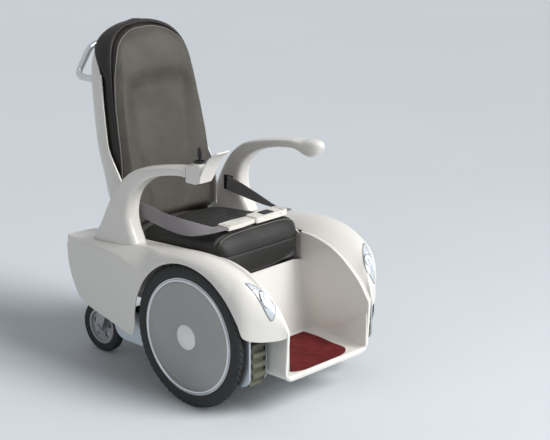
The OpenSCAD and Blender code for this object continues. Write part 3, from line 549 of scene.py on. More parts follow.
class Bench:
    """Lays out the nodes of one material."""

    def __init__(self, name: str) -> None:
        """Starts a material with its shader and coordinates.

        Args:
            name: Name of the material.
        """
        self.material = bpy.data.materials.new(name)
        self.material.use_nodes = True
        self.tree = self.material.node_tree
        self.shader = self.tree.nodes["Principled BSDF"]
        coords = self.tree.nodes.new("ShaderNodeTexCoord")
        self.place = coords.outputs["Object"]
        self.uv = coords.outputs["UV"]

    def add(self, kind: str, feeds: dict, **settings: object) -> bpy.types.Node:
        """Adds a node.

        Args:
            kind: Node type without its prefix.
            feeds: Socket name or number to value or output.
            settings: Properties of the node.

        Returns:
            The node.
        """
        node = self.tree.nodes.new("ShaderNode" + kind)
        for key, value in settings.items():
            setattr(node, key, value)
        for key, value in feeds.items():
            if isinstance(value, Socket):
                self.tree.links.new(value, node.inputs[key])
            else:
                node.inputs[key].default_value = value
        return node

    def noise(self, scale: float, detail: float, where: Optional[Socket] = None,
              rough: float = 0.55) -> Socket:
        """Noise at a scale in features per metre."""
        return self.add("TexNoise", {"Vector": where or self.place, "Scale": scale,
                                     "Detail": detail, "Roughness": rough}).outputs[0]

    def stretched(self, scale: Point, where: Optional[Socket] = None) -> Socket:
        """Coordinates scaled along each axis."""
        return self.add("Mapping", {"Vector": where or self.place, "Scale": scale}).outputs[0]

    def band(self, value: Socket, lo: float, hi: float, start: float = 0.3,
             end: float = 0.7) -> Socket:
        """Value moved from start..end to lo..hi."""
        feeds = {"Value": value, "From Min": start, "From Max": end, "To Min": lo, "To Max": hi}
        return self.add("MapRange", feeds, interpolation_type="SMOOTHSTEP").outputs[0]

    def maths(self, operation: str, a: object, b: object = 0.5) -> Socket:
        """Result of a math node."""
        return self.add("Math", {0: a, 1: b}, operation=operation).outputs[0]

    def wave(self, value: Socket, rate: float) -> Socket:
        """Sine of a value times a rate."""
        return self.maths("SINE", self.maths("MULTIPLY", value, rate))

    def mix(self, factor: Socket, a: object, b: object) -> Socket:
        """Colour between a and b.

        Args:
            factor: Share of b.
            a: Colour or socket.
            b: Colour or socket.

        Returns:
            The mixed colour.
        """
        def full(c: object) -> object:
            """Colour with its alpha, or the socket itself."""
            return (*c, 1.0) if isinstance(c, tuple) else c
        return self.add("Mix", {0: factor, 6: full(a), 7: full(b)}, data_type="RGBA").outputs[2]

    def raise_by(self, height: Socket, strength: float, depth: float) -> None:
        """Bump on the shader, with its depth in millimetres."""
        node = self.add("Bump", {"Height": height, "Strength": strength, "Distance": depth * MM})
        self.tree.links.new(node.outputs[0], self.shader.inputs["Normal"])

    def feed(self, name: str, value: object) -> None:
        """Links a socket to the shader, or sets a constant on it.

        Args:
            name: Input of the shader.
            value: Socket or constant.
        """
        if isinstance(value, Socket):
            self.tree.links.new(value, self.shader.inputs[name])
        else:
            self.shader.inputs[name].default_value = value


@dataclass(frozen=True)
class Finish:
    """Moulded or painted surface with mottling, uneven gloss and fine grain."""

    name: str
    color: Color
    rough: tuple[float, float] = (0.3, 0.4)
    metal: float = 0.0
    coat: float = 0.0
    coat_rough: float = 0.08
    mottle: float = 0.05
    mottle_scale: float = 9.0
    octaves: float = 5.0
    grain: float = 600.0
    strength: float = 0.15
    depth: float = 0.2
    sheen: float = 0.0
    shine: float = 0.5

    def shade(self, share: float) -> Color:
        """The colour times a share, no lighter than white."""
        return tuple(min(1.0, c * share) for c in self.color)

    def height(self, bench: Bench) -> Socket:
        """Height of the surface's grain."""
        return bench.noise(self.grain, 3.0)

    def patches(self, bench: Bench, spread: float, noise: Socket) -> Socket:
        """Colour that wanders by a spread to both sides."""
        return bench.mix(bench.band(noise, 0, 1), self.shade(1 - spread), self.shade(1 + spread))

    def worn(self, bench: Bench, spread: float) -> Socket:
        """Colour in broad worn patches with ragged edges."""
        return self.patches(bench, spread, bench.noise(self.mottle_scale, 7.0, rough=0.65))

    def tint(self, bench: Bench, height: Socket) -> Socket:
        """Colour over the surface."""
        return self.patches(bench, self.mottle, bench.noise(self.mottle_scale, self.octaves))

    def extras(self, bench: Bench) -> None:
        """Constants that only some finishes set."""

    def material(self) -> bpy.types.Material:
        """The finish as a material, made once.

        Returns:
            The material.
        """
        known = bpy.data.materials.get(self.name)
        if known:
            return known
        bench = Bench(self.name)
        height = self.height(bench)
        bench.feed("Base Color", self.tint(bench, height))
        gloss = bench.noise(self.mottle_scale * 4, self.octaves)
        bench.feed("Roughness", bench.band(gloss, *self.rough))
        bench.feed("Metallic", self.metal)
        bench.feed("Coat Weight", self.coat)
        bench.feed("Coat Roughness", self.coat_rough)
        bench.feed("Sheen Weight", self.sheen)
        bench.feed("Specular IOR Level", self.shine)
        bench.raise_by(height, self.strength, self.depth)
        self.extras(bench)
        return bench.material


@dataclass(frozen=True)
class Brushed(Finish):
    """Metal with fine lines drawn along one axis."""

    along: Point = (4.0, 900.0, 900.0)

    def height(self, bench: Bench) -> Socket:
        """Long thin scratches."""
        return bench.noise(1.0, 5.0, bench.stretched(self.along))


@dataclass(frozen=True)
class Turned(Finish):
    """Metal with rings from turning about the wheel's axle."""

    rings: float = 1600.0

    def height(self, bench: Bench) -> Socket:
        """Fine rings round the axle.

        Args:
            bench: Bench of the material.

        Returns:
            The height.
        """
        centred = bench.add("Mapping", {
            "Vector": bench.place, "Location": (0.0, -AXLE_Y, -AXLE_Z * MM),
            "Scale": (0.0, 1.0, 1.0)}).outputs[0]
        radius = bench.add("VectorMath", {0: centred}, operation="LENGTH").outputs["Value"]
        ring = bench.add("CombineXYZ", {0: radius}).outputs[0]
        return bench.noise(self.rings, 2.0, ring)


@dataclass(frozen=True)
class Hide(Finish):
    """Leathercloth with fine cells and soft wrinkles."""

    cells: float = 700.0
    wrinkles: float = 45.0
    flecks: float = 420.0

    def height(self, bench: Bench) -> Socket:
        """Cells between creases, over a soft wrinkle.

        Args:
            bench: Bench of the material.

        Returns:
            The height.
        """
        cell = bench.add("TexVoronoi", {"Vector": bench.place, "Scale": self.cells},
                         feature="DISTANCE_TO_EDGE").outputs["Distance"]
        soft = bench.noise(self.wrinkles, 4.0)
        return bench.maths("ADD", bench.band(cell, 0.0, 0.5, 0.0, 0.25), soft)

    def tint(self, bench: Bench, height: Socket) -> Socket:
        """Worn in broad patches, with light flecks."""
        fleck = bench.band(bench.noise(self.flecks, 3.0), 0.0, 0.45, 0.4, 0.75)
        return bench.mix(fleck, self.worn(bench, 1.6 * self.mottle), self.shade(1.5))


@dataclass(frozen=True)
class Knit(Finish):
    """Upholstery cloth with a basket weave across X and another axis, worn in patches."""

    pitch: float = 3.4
    cross: int = 2
    drift: float = 60.0
    fuzz: float = 420.0

    def height(self, bench: Bench) -> Socket:
        """Threads that pass over and under each other.

        Args:
            bench: Bench of the material.

        Returns:
            The height.
        """
        warp = bench.stretched((1000 / self.pitch,) * 3)
        drift = bench.add("TexNoise", {"Vector": bench.place, "Scale": self.drift,
                                       "Detail": 3.0}).outputs["Color"]
        place = bench.add("VectorMath", {0: warp, 1: drift}, operation="ADD").outputs[0]
        split = bench.add("SeparateXYZ", {0: place}).outputs
        waves = [bench.wave(split[k], math.pi) for k in (0, self.cross)]
        weave = bench.band(bench.maths("MULTIPLY", *waves), 0, 1, -1, 1)
        fuzz = bench.maths("MULTIPLY", bench.noise(self.fuzz, 4.0), 0.8)
        return bench.maths("ADD", weave, fuzz)

    def tint(self, bench: Bench, height: Socket) -> Socket:
        """Gaps between the threads darkened as painted shade, with broad worn patches."""
        # Low parts of the weave mix towards shade(0.45): painted shade in the gaps between the
        # threads.
        low = bench.band(height, 0.0, 0.75, 1.3, 0.4)
        return bench.mix(low, self.worn(bench, self.mottle), self.shade(0.45))


@dataclass(frozen=True)
class Woven(Finish):
    """Webbing whose weave follows the strap."""

    threads: Pair = (26.0, 260.0)
    stains: float = 20.0

    def height(self, bench: Bench) -> Socket:
        """Ribs along the strap, crossed by the weft.

        Args:
            bench: Bench of the material.

        Returns:
            The height.
        """
        place = bench.stretched((*self.threads, 1.0), bench.uv)
        split = bench.add("SeparateXYZ", {0: place}).outputs
        rib = bench.wave(split[0], 2 * math.pi)
        shift = bench.maths("MULTIPLY", bench.maths("SIGN", rib), 0.25)
        weft = bench.wave(bench.maths("ADD", split[1], shift), 2 * math.pi)
        weft = bench.maths("MULTIPLY", weft, 0.5)
        return bench.maths("ADD", bench.maths("ABSOLUTE", rib), weft)

    def tint(self, bench: Bench, height: Socket) -> Socket:
        """Gaps between the threads darkened and thread tops lightened, as painted shade and painted
        highlight.

        Args:
            bench: Bench of the material.
            height: Height of the weave.

        Returns:
            The colour.
        """
        # Colour follows the weave's height: painted shade in the gaps, painted highlight on the
        # thread tops.
        threads = bench.band(height, 0, 1, 0.0, 1.4)
        base = bench.mix(threads, self.shade(0.62), self.shade(1.12))
        return bench.mix(bench.band(bench.noise(self.stains, 5.0), 0, 0.35), base, self.color)


@dataclass(frozen=True)
class Rubber(Finish):
    """Rubber with a thin film of dust."""

    dust: Color = (0.16, 0.15, 0.13)
    film: float = 28.0
    specks: float = 300.0

    def tint(self, bench: Bench, height: Socket) -> Socket:
        """Clean rubber with a thin patchy film of dust.

        Args:
            bench: Bench of the material.
            height: Height of the grain; not used.

        Returns:
            The colour.
        """
        film = bench.band(bench.noise(self.film, 7.0), 0.0, 0.55, 0.42, 0.75)
        specks = bench.band(bench.noise(self.specks, 3.0), 0.3, 1.0)
        return bench.mix(bench.maths("MULTIPLY", film, specks), self.color, self.dust)


@dataclass(frozen=True)
class Glass(Finish):
    """Clear moulded lens."""

    ior: float = 1.46
    alpha: float = 0.28

    def extras(self, bench: Bench) -> None:
        """Lets light through."""
        for name, value in (("Transmission Weight", 1.0), ("IOR", self.ior), ("Alpha", self.alpha)):
            bench.feed(name, value)


SHELL_WHITE = Finish("shell_white", (0.76, 0.735, 0.69), (0.283, 0.3), coat=0.3, mottle=0.006,
                     mottle_scale=2.2, octaves=0.0, grain=420, strength=0.01)
TUB_WHITE = Finish("tub_white", (0.76, 0.74, 0.7), (0.34, 0.37), coat=0.15, mottle=0.01,
                   mottle_scale=2.5, octaves=0.0, grain=420, strength=0.02)
PAD_GREY = Knit("pad_grey", (0.092, 0.084, 0.07), (0.46, 0.6), mottle=0.22, mottle_scale=9,
                strength=0.6, depth=0.7, shine=0.35)
SEAT_DARK = Knit("seat_dark", (0.03, 0.0295, 0.0275), (0.42, 0.56), mottle=0.2, mottle_scale=12,
                 strength=0.5, depth=0.6, shine=0.3, cross=1)
ROLL_DARK = Hide("roll_dark", (0.02, 0.0195, 0.018), (0.36, 0.5), mottle=0.16, mottle_scale=12,
                 strength=0.4, depth=0.6, shine=0.32)
GUSSET_BLACK = Hide("gusset_black", (0.018, 0.0145, 0.0125), (0.42, 0.52), mottle=0.12,
                    strength=0.25, depth=0.4, cells=900, shine=0.35)
PIPING_GREY = Hide("piping_grey", (0.13, 0.122, 0.105), (0.45, 0.55), mottle=0.08, strength=0.2,
                   depth=0.3)
BELT_GREY = Woven("belt_grey", (0.27, 0.25, 0.265), (0.55, 0.7), strength=0.6, depth=0.5,
                  sheen=0.2)
BUCKLE_CREAM = Finish("buckle_cream", (0.74, 0.72, 0.66), (0.3, 0.42), mottle=0.03, grain=900,
                      strength=0.12)
SOFT_BLACK = Finish("soft_black", (0.016, 0.016, 0.017), (0.38, 0.5), mottle=0.15, grain=1200,
                    strength=0.25, shine=0.4)
MAT_RED = Finish("mat_red", (0.12, 0.014, 0.015), (0.75, 0.9), mottle=0.2, mottle_scale=40,
                 grain=420, strength=0.7, depth=0.8, shine=0.15)
CHROME = Finish("chrome", (0.66, 0.67, 0.69), (0.06, 0.13), metal=1.0, mottle=0.02, grain=200,
                strength=0.02)
BOWL_CHROME = Finish("bowl_chrome", (0.62, 0.66, 0.7), (0.3, 0.38), metal=0.25, mottle=0.03,
                     grain=700, strength=0.05)
LENS = Glass("lens", (0.97, 0.98, 0.99), (0.02, 0.05), mottle=0.005, grain=60, strength=0.01)
SEAL_GREY = Finish("seal_grey", (0.17, 0.175, 0.18), (0.4, 0.5), mottle=0.08, strength=0.15)
COVER_SATIN = Turned("cover_satin", (0.34, 0.333, 0.322), (0.34, 0.4), metal=0.7, mottle=0.03,
                     strength=0.12, depth=0.1)
CAP_WHITE = Finish("cap_white", (0.82, 0.82, 0.8), (0.2, 0.262), coat=0.4, mottle=0.02,
                   grain=800, strength=0.05)
TYRE_BLACK = Rubber("tyre_black", (0.014, 0.0135, 0.013), (0.6, 0.78), grain=900, strength=0.4,
                    depth=0.3, shine=0.3, dust=(0.07, 0.065, 0.055))
TRACK_RUBBER = Rubber("track_rubber", (0.034, 0.031, 0.022), (0.7, 0.88), grain=700,
                      strength=0.5, depth=0.4, shine=0.25, dust=(0.1, 0.09, 0.07))
FRAME_STEEL = Finish("frame_steel", (0.055, 0.056, 0.06), (0.42, 0.58), metal=0.2, mottle=0.12,
                     grain=1000, strength=0.3)
BRIGHT_STEEL = Brushed("bright_steel", (0.62, 0.62, 0.61), (0.285, 0.38), metal=1.0, mottle=0.06,
                       strength=0.15)
WHEEL_METAL = Brushed("wheel_metal", (0.5, 0.5, 0.5), (0.32, 0.45), metal=1.0, mottle=0.06,
                      strength=0.15)
CASTER_METAL = Brushed("caster_metal", (0.42, 0.42, 0.42), (0.34, 0.48), metal=0.9, mottle=0.08,
                       strength=0.2)
CRAWLER_ALLOY = Brushed("crawler_alloy", (0.45, 0.48, 0.52), (0.3, 0.45), metal=0.9, mottle=0.07,
                        strength=0.2, along=(900.0, 5.0, 900.0))
MOTOR_CASE = Finish("motor_case", (0.04, 0.042, 0.045), (0.45, 0.6), metal=0.3, mottle=0.12,
                    grain=900, strength=0.3)

NODE_FINISHES: dict[Finish, Sequence[str]] = {
    FRAME_STEEL: ("chassis_frame", "seat_pan", "backrest_frame", "joystick_gimbal",
                  "track_sprockets", "idler_right", "idler_left"),
    BRIGHT_STEEL: ("stub_axles", "recline_pins", "pod_hinge_pin", "track_drive_shaft"),
    SOFT_BLACK: ("belt_anchors", "battery_pack"),
    MOTOR_CASE: ("control_box", "track_gearmotor"),
    WHEEL_METAL: ("wheel_rim_right", "wheel_rim_left"),
    CASTER_METAL: ("caster_fork_right", "caster_fork_left", "caster_hub_right", "caster_hub_left"),
    CRAWLER_ALLOY: ("crawler_frame_right", "crawler_frame_left", "crawler_cross_tube"),
    TUB_WHITE: ("rear_body",),
    MAT_RED: ("foot_mat",),
}


def dress(piece: Piece, angle: float, finish: Finish, body: str, slot: str, *nodes: str) -> None:
    """Shades a piece, gives it its finish and body, and hides the nodes it stands for.

    Args:
        piece: Finished mesh.
        angle: Edges sharper than this many degrees stay crisp.
        finish: Its finish.
        body: CAD body that it rides on.
        slot: Material slot of the record; not used.
        nodes: CAD nodes that it replaces.
    """
    select_only(piece)
    bpy.ops.object.shade_smooth_by_angle(angle=math.radians(angle))
    piece.data.materials.clear()
    piece.data.materials.append(finish.material())
    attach(piece, body)
    if nodes:
        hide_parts(*nodes)
    LOG.info("%s: %d faces on %s", piece.name, len(piece.data.polygons), body)


def dress_nodes(nodes: dict) -> None:
    """Puts a procedural finish on each CAD node that stays in view.

    Args:
        nodes: CAD objects by name.
    """
    for finish, names in NODE_FINISHES.items():
        for mesh in (nodes[name].data for name in names):
            if not mesh.materials:
                mesh.materials.append(finish.material())
            for k in range(len(mesh.materials)):
                mesh.materials[k] = finish.material()


class Lamp(Enum):
    """Kinds of lamp on the stage."""

    SUN = "SUN"
    AREA = "AREA"


@dataclass
class Stage:
    """Floor, light and camera."""

    floor_size: float = 80.0
    floor_color: Color = (0.66, 0.70, 0.73)
    sky_color: Color = (0.56, 0.6, 0.63)
    light_low: Color = (0.16, 0.19, 0.22)
    light_high: Color = (0.95, 0.96, 0.98)
    light_top: float = 0.75
    light_strength: float = 0.38
    lamps: Sequence[tuple[str, Lamp, Point, float, float]] = (
        ("key", Lamp.SUN, (0.7, -2.2, 2.7), 2.5, 0.5),
        ("softbox", Lamp.AREA, (1.2, -3.0, 1.6), 40.0, 1.8),
        ("fill", Lamp.AREA, (-3.4, -0.6, 2.2), 9.0, 2.2))
    aim: Point = (0.0, 0.0, 0.5)
    eye: Point = (-3.626, -3.6995, 2.058)
    turn: Point = (73.16, 0.0, -46.44)
    lens: float = 111.27
    sensor: float = 36.0
    far: float = 200.0

    def lay_floor(self) -> None:
        """Lays the floor."""
        clear_selection()
        bpy.ops.mesh.primitive_plane_add(size=self.floor_size)
        floor = bpy.context.object
        floor.name = "floor"
        finish = Finish("floor_paint", self.floor_color, (0.75, 0.85), mottle=0.01,
                        mottle_scale=0.8, strength=0.02)
        floor.data.materials.append(finish.material())

    def hang_sky(self) -> None:
        """Makes sky light that grows with height, and the pale background that is seen."""
        world = bpy.data.worlds.new("studio")
        world.use_nodes = True
        bpy.context.scene.world = world
        tree = world.node_tree
        link = tree.links.new
        back = tree.nodes["Background"]
        back.inputs["Strength"].default_value = self.light_strength
        coords = tree.nodes.new("ShaderNodeTexCoord")
        split = tree.nodes.new("ShaderNodeSeparateXYZ")
        ramp = tree.nodes.new("ShaderNodeValToRGB")
        ends = ((0.0, self.light_low), (self.light_top, self.light_high))
        for stop, (place, color) in zip(ramp.color_ramp.elements, ends):
            stop.position, stop.color = place, (*color, 1.0)
        link(coords.outputs["Generated"], split.inputs[0])
        link(split.outputs["Z"], ramp.inputs[0])
        link(ramp.outputs[0], back.inputs["Color"])
        seen = tree.nodes.new("ShaderNodeBackground")
        seen.inputs["Color"].default_value = (*self.sky_color, 1.0)
        path = tree.nodes.new("ShaderNodeLightPath")
        rays = path.outputs["Is Camera Ray"]
        for kind in ("Is Glossy Ray", "Is Transmission Ray"):
            either = tree.nodes.new("ShaderNodeMath")
            either.operation = "MAXIMUM"
            link(rays, either.inputs[0])
            link(path.outputs[kind], either.inputs[1])
            rays = either.outputs[0]
        mix = tree.nodes.new("ShaderNodeMixShader")
        for k, source in enumerate((rays, back.outputs[0], seen.outputs[0])):
            link(source, mix.inputs[k])
        link(mix.outputs[0], tree.nodes["World Output"].inputs["Surface"])

    def hang_lamp(self, name: str, kind: Lamp, place: Point, energy: float, size: float) -> None:
        """Hangs a lamp that looks at the middle of the chair.

        Args:
            name: Name of the lamp.
            kind: Kind of the lamp.
            place: Where it stands, in metres.
            energy: Its strength.
            size: Edge of the panel in metres, or the sun's angle in radians.
        """
        light = bpy.data.lights.new(name, kind.value)
        light.energy = energy
        if kind is Lamp.SUN:
            light.angle = size
        else:
            light.size = size
        lamp = bpy.data.objects.new(name, light)
        lamp.location = place
        look = Vector(self.aim) - Vector(place)
        lamp.rotation_euler = look.to_track_quat("-Z", "Y").to_euler()
        bpy.context.collection.objects.link(lamp)

    def set_camera(self) -> None:
        """Sets up the camera where the photo's camera stood."""
        cam = bpy.data.cameras.new("photo_camera")
        cam.lens, cam.sensor_width = self.lens, self.sensor
        cam.sensor_fit = "HORIZONTAL"
        cam.clip_end = self.far
        eye = bpy.data.objects.new("photo_camera", cam)
        eye.location = self.eye
        eye.rotation_euler = tuple(math.radians(a) for a in self.turn)
        bpy.context.collection.objects.link(eye)
        bpy.context.scene.camera = eye
        bpy.context.scene.view_settings.view_transform = "Standard"

    def build(self) -> None:
        """Makes the floor, the world, the lamps and the camera."""
        self.lay_floor()
        self.hang_sky()
        for lamp in self.lamps:
            self.hang_lamp(*lamp)
        self.set_camera()


@dataclass
class Fenders:
    """The two fenders with their arches, rear side panels and tail panels."""

    wall: float = 3.0
    rim_round: float = 1.1
    least_out: float = 0.6
    least_top: float = 0.4
    shoulder_share: float = 0.9
    flatten: float = 0.65
    flat_from: Pair = (130.0, 220.0)
    flat_until: Pair = (540.0, 450.0)
    arch_r: float = 231.0
    arch_start: float = -4.0
    arch_step: float = 8.5
    arch_steps: int = 20
    arch_lead: float = 15.0
    lead_end: float = 60.0
    rows: int = 170
    top_cols: int = 12
    shoulder_cols: int = 20
    side_cols: int = 12
    rear: float = 570.0
    rear_round: float = 9.0
    tail_line: Line = (
        (566, 424), (566.5, 392), (562.5, 352), (545.5, 311), (515, 261), (487, 231), (462, 221))
    tail_bend: float = 20.0
    tail_wall: float = 2.4
    tail_gaps: Pair = (0.4, 1.6)
    tail_cols: int = 12

    def stations(self) -> list[Point]:
        """Y of the top, then Y and Z of the lower edge, from the rear to the nose.

        Returns:
            The stations.
        """
        arch = []
        for k in range(self.arch_steps + 1):
            swept = self.arch_step * k
            a = math.radians(self.arch_start + swept)
            y, z = self.arch_r * math.cos(a), AXLE_Z + self.arch_r * math.sin(a)
            lead = max(0.0, self.arch_lead * (1 - swept / self.lead_end))
            arch.append((y + lead, y, z))
        return [*REAR_EDGE, *arch, *FRONT_EDGE]

    def tuck(self, y: float) -> float:
        """How far the skin is drawn in, close to its rear end."""
        near = min(1.0, max(0.0, 1 - (self.rear - y) / self.rear_round))
        return self.rear_round * (1 - math.sqrt(1 - near ** 2))

    def section(self, station: Point) -> list[Point]:
        """Points of the skin across one station, from the inner edge down to the lower edge.

        Args:
            station: Y of the top, Y and Z of the lower edge.

        Returns:
            The points.
        """
        y, low_y, low_z = station
        tuck, least = self.tuck(y), BODY_X + self.least_out
        out = max(curve(OUTER, y), least) - tuck
        low_x = max(curve(OUTER, low_y), least)
        crown, inner = curve(CROWN, y) - tuck, curve(INNER, y) - tuck
        a = min(curve(SHOULDER_X, y), out - BODY_X - self.least_top)
        b = min(curve(SHOULDER_Z, y), self.shoulder_share * (crown - low_z))
        edge, brim = out - a, crown - b
        flat = 1 + self.flatten * ease(*self.flat_from, y) * ease(*self.flat_until, y)
        pts = []
        for k in range(self.top_cols):
            u = k / self.top_cols
            rise = (crown - inner) * math.sin(QUARTER * u)
            pts.append((BODY_X + (edge - BODY_X) * u, y, inner + rise))
        for k in range(self.shoulder_cols + 1):
            p = QUARTER * k / self.shoulder_cols
            pts.append((edge + a * math.sin(p) ** flat, y, brim + b * math.cos(p) ** flat))
        for k in range(1, self.side_cols + 1):
            v = k / self.side_cols
            pts.append((out + (low_x - out) * v, y + (low_y - y) * v, brim * (1 - v) + low_z * v))
        return pts

    def top(self, x: float, y: float) -> float:
        """Height of the skin over a point of its top or shoulder.

        Args:
            x: X on the left side.
            y: Y of the point.

        Returns:
            The height.
        """
        crown, inner, out = curve(CROWN, y), curve(INNER, y), curve(OUTER, y)
        a, b = min(curve(SHOULDER_X, y), out - BODY_X - 1), curve(SHOULDER_Z, y)
        edge = out - a
        if x <= edge:
            return inner + (crown - inner) * math.sin(QUARTER * (x - BODY_X) / (edge - BODY_X))
        return crown - b + b * math.sqrt(max(0.0, 1 - ((x - edge) / a) ** 2))

    def over(self, x: float, y: float, h: float) -> Point:
        """Point at a height h off the skin, along its normal.

        Args:
            x: X on the left side.
            y: Y of the point.
            h: Height off the skin.

        Returns:
            The point.
        """
        gx = (self.top(x + 1, y) - self.top(x - 1, y)) / 2
        gy = (self.top(x, y + 1) - self.top(x, y - 1)) / 2
        n = Vector((-gx, -gy, 1)).normalized() * h
        return (x + n.x, y + n.y, self.top(x, y) + n.z)

    def skin(self, side: Side) -> Piece:
        """One fender's shell with a rounded rim, closed by its tail panel.

        Args:
            side: Side of the chair.

        Returns:
            The fender.
        """
        raw = self.stations()
        tables = [[(i, s[k]) for i, s in enumerate(raw)] for k in range(3)]
        marks = [i * (len(raw) - 1) / self.rows for i in range(self.rows + 1)]
        rings = [side.place(self.section(tuple(curve(t, m) for t in tables))) for m in marks]
        piece = loft(f"fender_skin_{side.word}", rings, face_from=at(side.value * 200, 100, 250))
        thicken(piece, self.wall)
        round_edges(piece, self.rim_round, 2, RIM_ANGLE)
        return joined(piece.name, [piece, self.tail(side)])

    def tail(self, side: Side) -> Piece:
        """Panel that closes the rear of a fender, between its side and the rear body.

        Args:
            side: Side of the chair.

        Returns:
            The panel.
        """
        rings = []
        for y, z in rounded(self.tail_line, self.tail_bend, 5, False):
            inner = BODY_X + self.tail_gaps[0]
            out = curve(OUTER, y) - self.tuck(y) - self.tail_gaps[1]
            rings.append(side.place([(x, y, z) for x in span(inner, out, self.tail_cols)]))
        panel = loft("fender_tail", rings, face_from=at(side.value * 250, 300, 330))
        thicken(panel, self.tail_wall)
        return panel

    def build(self) -> None:
        """Builds and dresses both fenders."""
        for side in Side:
            skin = self.skin(side)
            dress(skin, 45, SHELL_WHITE, "base", "white_plastic", f"fender_{side.word}")


@dataclass
class Headlamps:
    """Teardrop headlamps that lie on the shoulders of the fenders."""

    fenders: Fenders
    top: Pair = (266.0, -208.0)
    low: Pair = (217.0, -281.0)
    half: float = 21.0
    top_share: float = 0.35
    shares: Sequence[float] = (0.0, 0.25, 0.5, 0.75, 0.9, 1.0)
    around: int = 72
    plate_h: float = 1.5
    plate_wall: float = 0.7
    bowl_at: float = 0.64
    bowl_r: float = 11.5
    bowl_long: float = 1.25
    bowl_around: int = 48
    bowl_line: Line = ((0.02, 1.9), (0.3, 2.0), (0.6, 2.6), (0.85, 3.6), (1.0, 4.6), (1.05, 4.6),
                       (1.1, 3.4), (1.12, 1.7))
    bulb_line: Line = ((0.02, 5.2), (0.14, 4.9), (0.24, 3.8), (0.28, 2.2))
    rim_h: float = 1.6
    rim_r: float = 0.8
    rim_steps: int = 96
    brow_h: float = 3.6
    brow_r: float = 1.3
    brow_reach: Pair = (16.848, 13.2)
    brow_turn: float = 1.15
    lens_h: float = 3.4
    lens_dome: float = 5.0
    lens_wall: float = 1.1

    def axes(self) -> tuple[Vector, Vector, Vector]:
        """Upper end, way down to the lower end, and unit vector across."""
        a, d = Vector(self.top), Vector(self.low) - Vector(self.top)
        return a, d, Vector((d.y, -d.x)).normalized()

    def spot(self, r: float, p: float) -> Pair:
        """Point of the teardrop at a share r of its way out, in direction p.

        Args:
            r: Share of the way out.
            p: Direction, as an angle.

        Returns:
            X and Y.
        """
        a, d, n = self.axes()
        u = (1 - math.cos(p)) / 2
        w = self.half * math.sin(p) * (self.top_share + (1 - self.top_share) * u)
        q = (a + d / 2) * (1 - r) + (a + d * u + n * w) * r
        return q.x, q.y

    def patch(self, name: str, side: Side, shares: Sequence[float],
              lift: Callable[[float], float]) -> Piece:
        """Sheet over the teardrop.

        Args:
            name: Name of the new piece.
            side: Side of the chair.
            shares: Shares of the way out, one for each ring.
            lift: Height off the fender at a share of the way out.

        Returns:
            The new piece.
        """
        rings = []
        for r in shares:
            spots = [self.spot(max(r, 0.001), p) for p in turns(self.around)]
            rings.append(side.place([self.fenders.over(x, y, lift(r)) for x, y in spots]))
        return loft(name, rings, True, at(side.value * 190, -150, 150))

    def dish(self, name: str, side: Side, profile: Line) -> Piece:
        """Oval bowl on the lamp's plate, from its share and height profile.

        Args:
            name: Name of the new piece.
            side: Side of the chair.
            profile: Shares of the radius, with heights.

        Returns:
            The new piece.
        """
        a, d, n = self.axes()
        middle, down = a + d * self.bowl_at, d.normalized() * self.bowl_long
        rings = []
        for share, h in profile:
            reach = self.bowl_r * share
            spots = [middle + reach * (down * math.cos(t) + n * math.sin(t))
                     for t in turns(self.bowl_around)]
            rings.append(side.place([self.fenders.over(q.x, q.y, h) for q in spots]))
        return loft(name, capped(rings), True)

    def rim(self, side: Side) -> list[Piece]:
        """Seal round the lens and the brow over the bowl.

        Args:
            side: Side of the chair.

        Returns:
            Seal and brow.
        """
        edge = [self.fenders.over(*self.spot(1.0, p), self.rim_h) for p in turns(self.rim_steps)]
        a, d, n = self.axes()
        middle, down = a + d * self.bowl_at, d.normalized()
        long, wide = self.brow_reach
        brow = [middle - down * long * math.cos(t) + n * wide * math.sin(t)
                for t in span(-self.brow_turn, self.brow_turn, 24)]
        brow = [self.fenders.over(q.x, q.y, self.brow_h) for q in brow]
        return [tube("lamp_rim", side.place(edge), self.rim_r, UP, 8, True),
                tube("lamp_brow", side.place(brow), self.brow_r, UP, 8)]

    def build(self) -> None:
        """Builds and dresses bowls, rims and lenses of both headlamps."""
        bowls, rims, lenses = [], [], []
        for side in Side:
            plate = self.patch("lamp_plate", side, self.shares, lambda r: self.plate_h)
            thicken(plate, self.plate_wall)
            bowls += [plate, self.dish("lamp_bowl", side, self.bowl_line),
                      self.dish("lamp_bulb", side, self.bulb_line)]
            rims += self.rim(side)
            lens = self.patch("lamp_lens", side, (0.0, 0.12, *self.shares[1:]),
                              lambda r: self.lens_h + self.lens_dome * (1 - r * r))
            thicken(lens, self.lens_wall)
            lenses.append(lens)
        for name, parts, finish, slot, nodes in (
                ("headlamp_bowls", bowls, BOWL_CHROME, "reflector", ("headlamp_reflectors",)),
                ("headlamp_rims", rims, SEAL_GREY, "black_plastic", ()),
                ("headlamp_glass", lenses, LENS, "lamp_lens", ("headlamp_lenses",))):
            piece = joined(name, parts)
            dress(piece, 50, finish, "base", slot, *nodes)


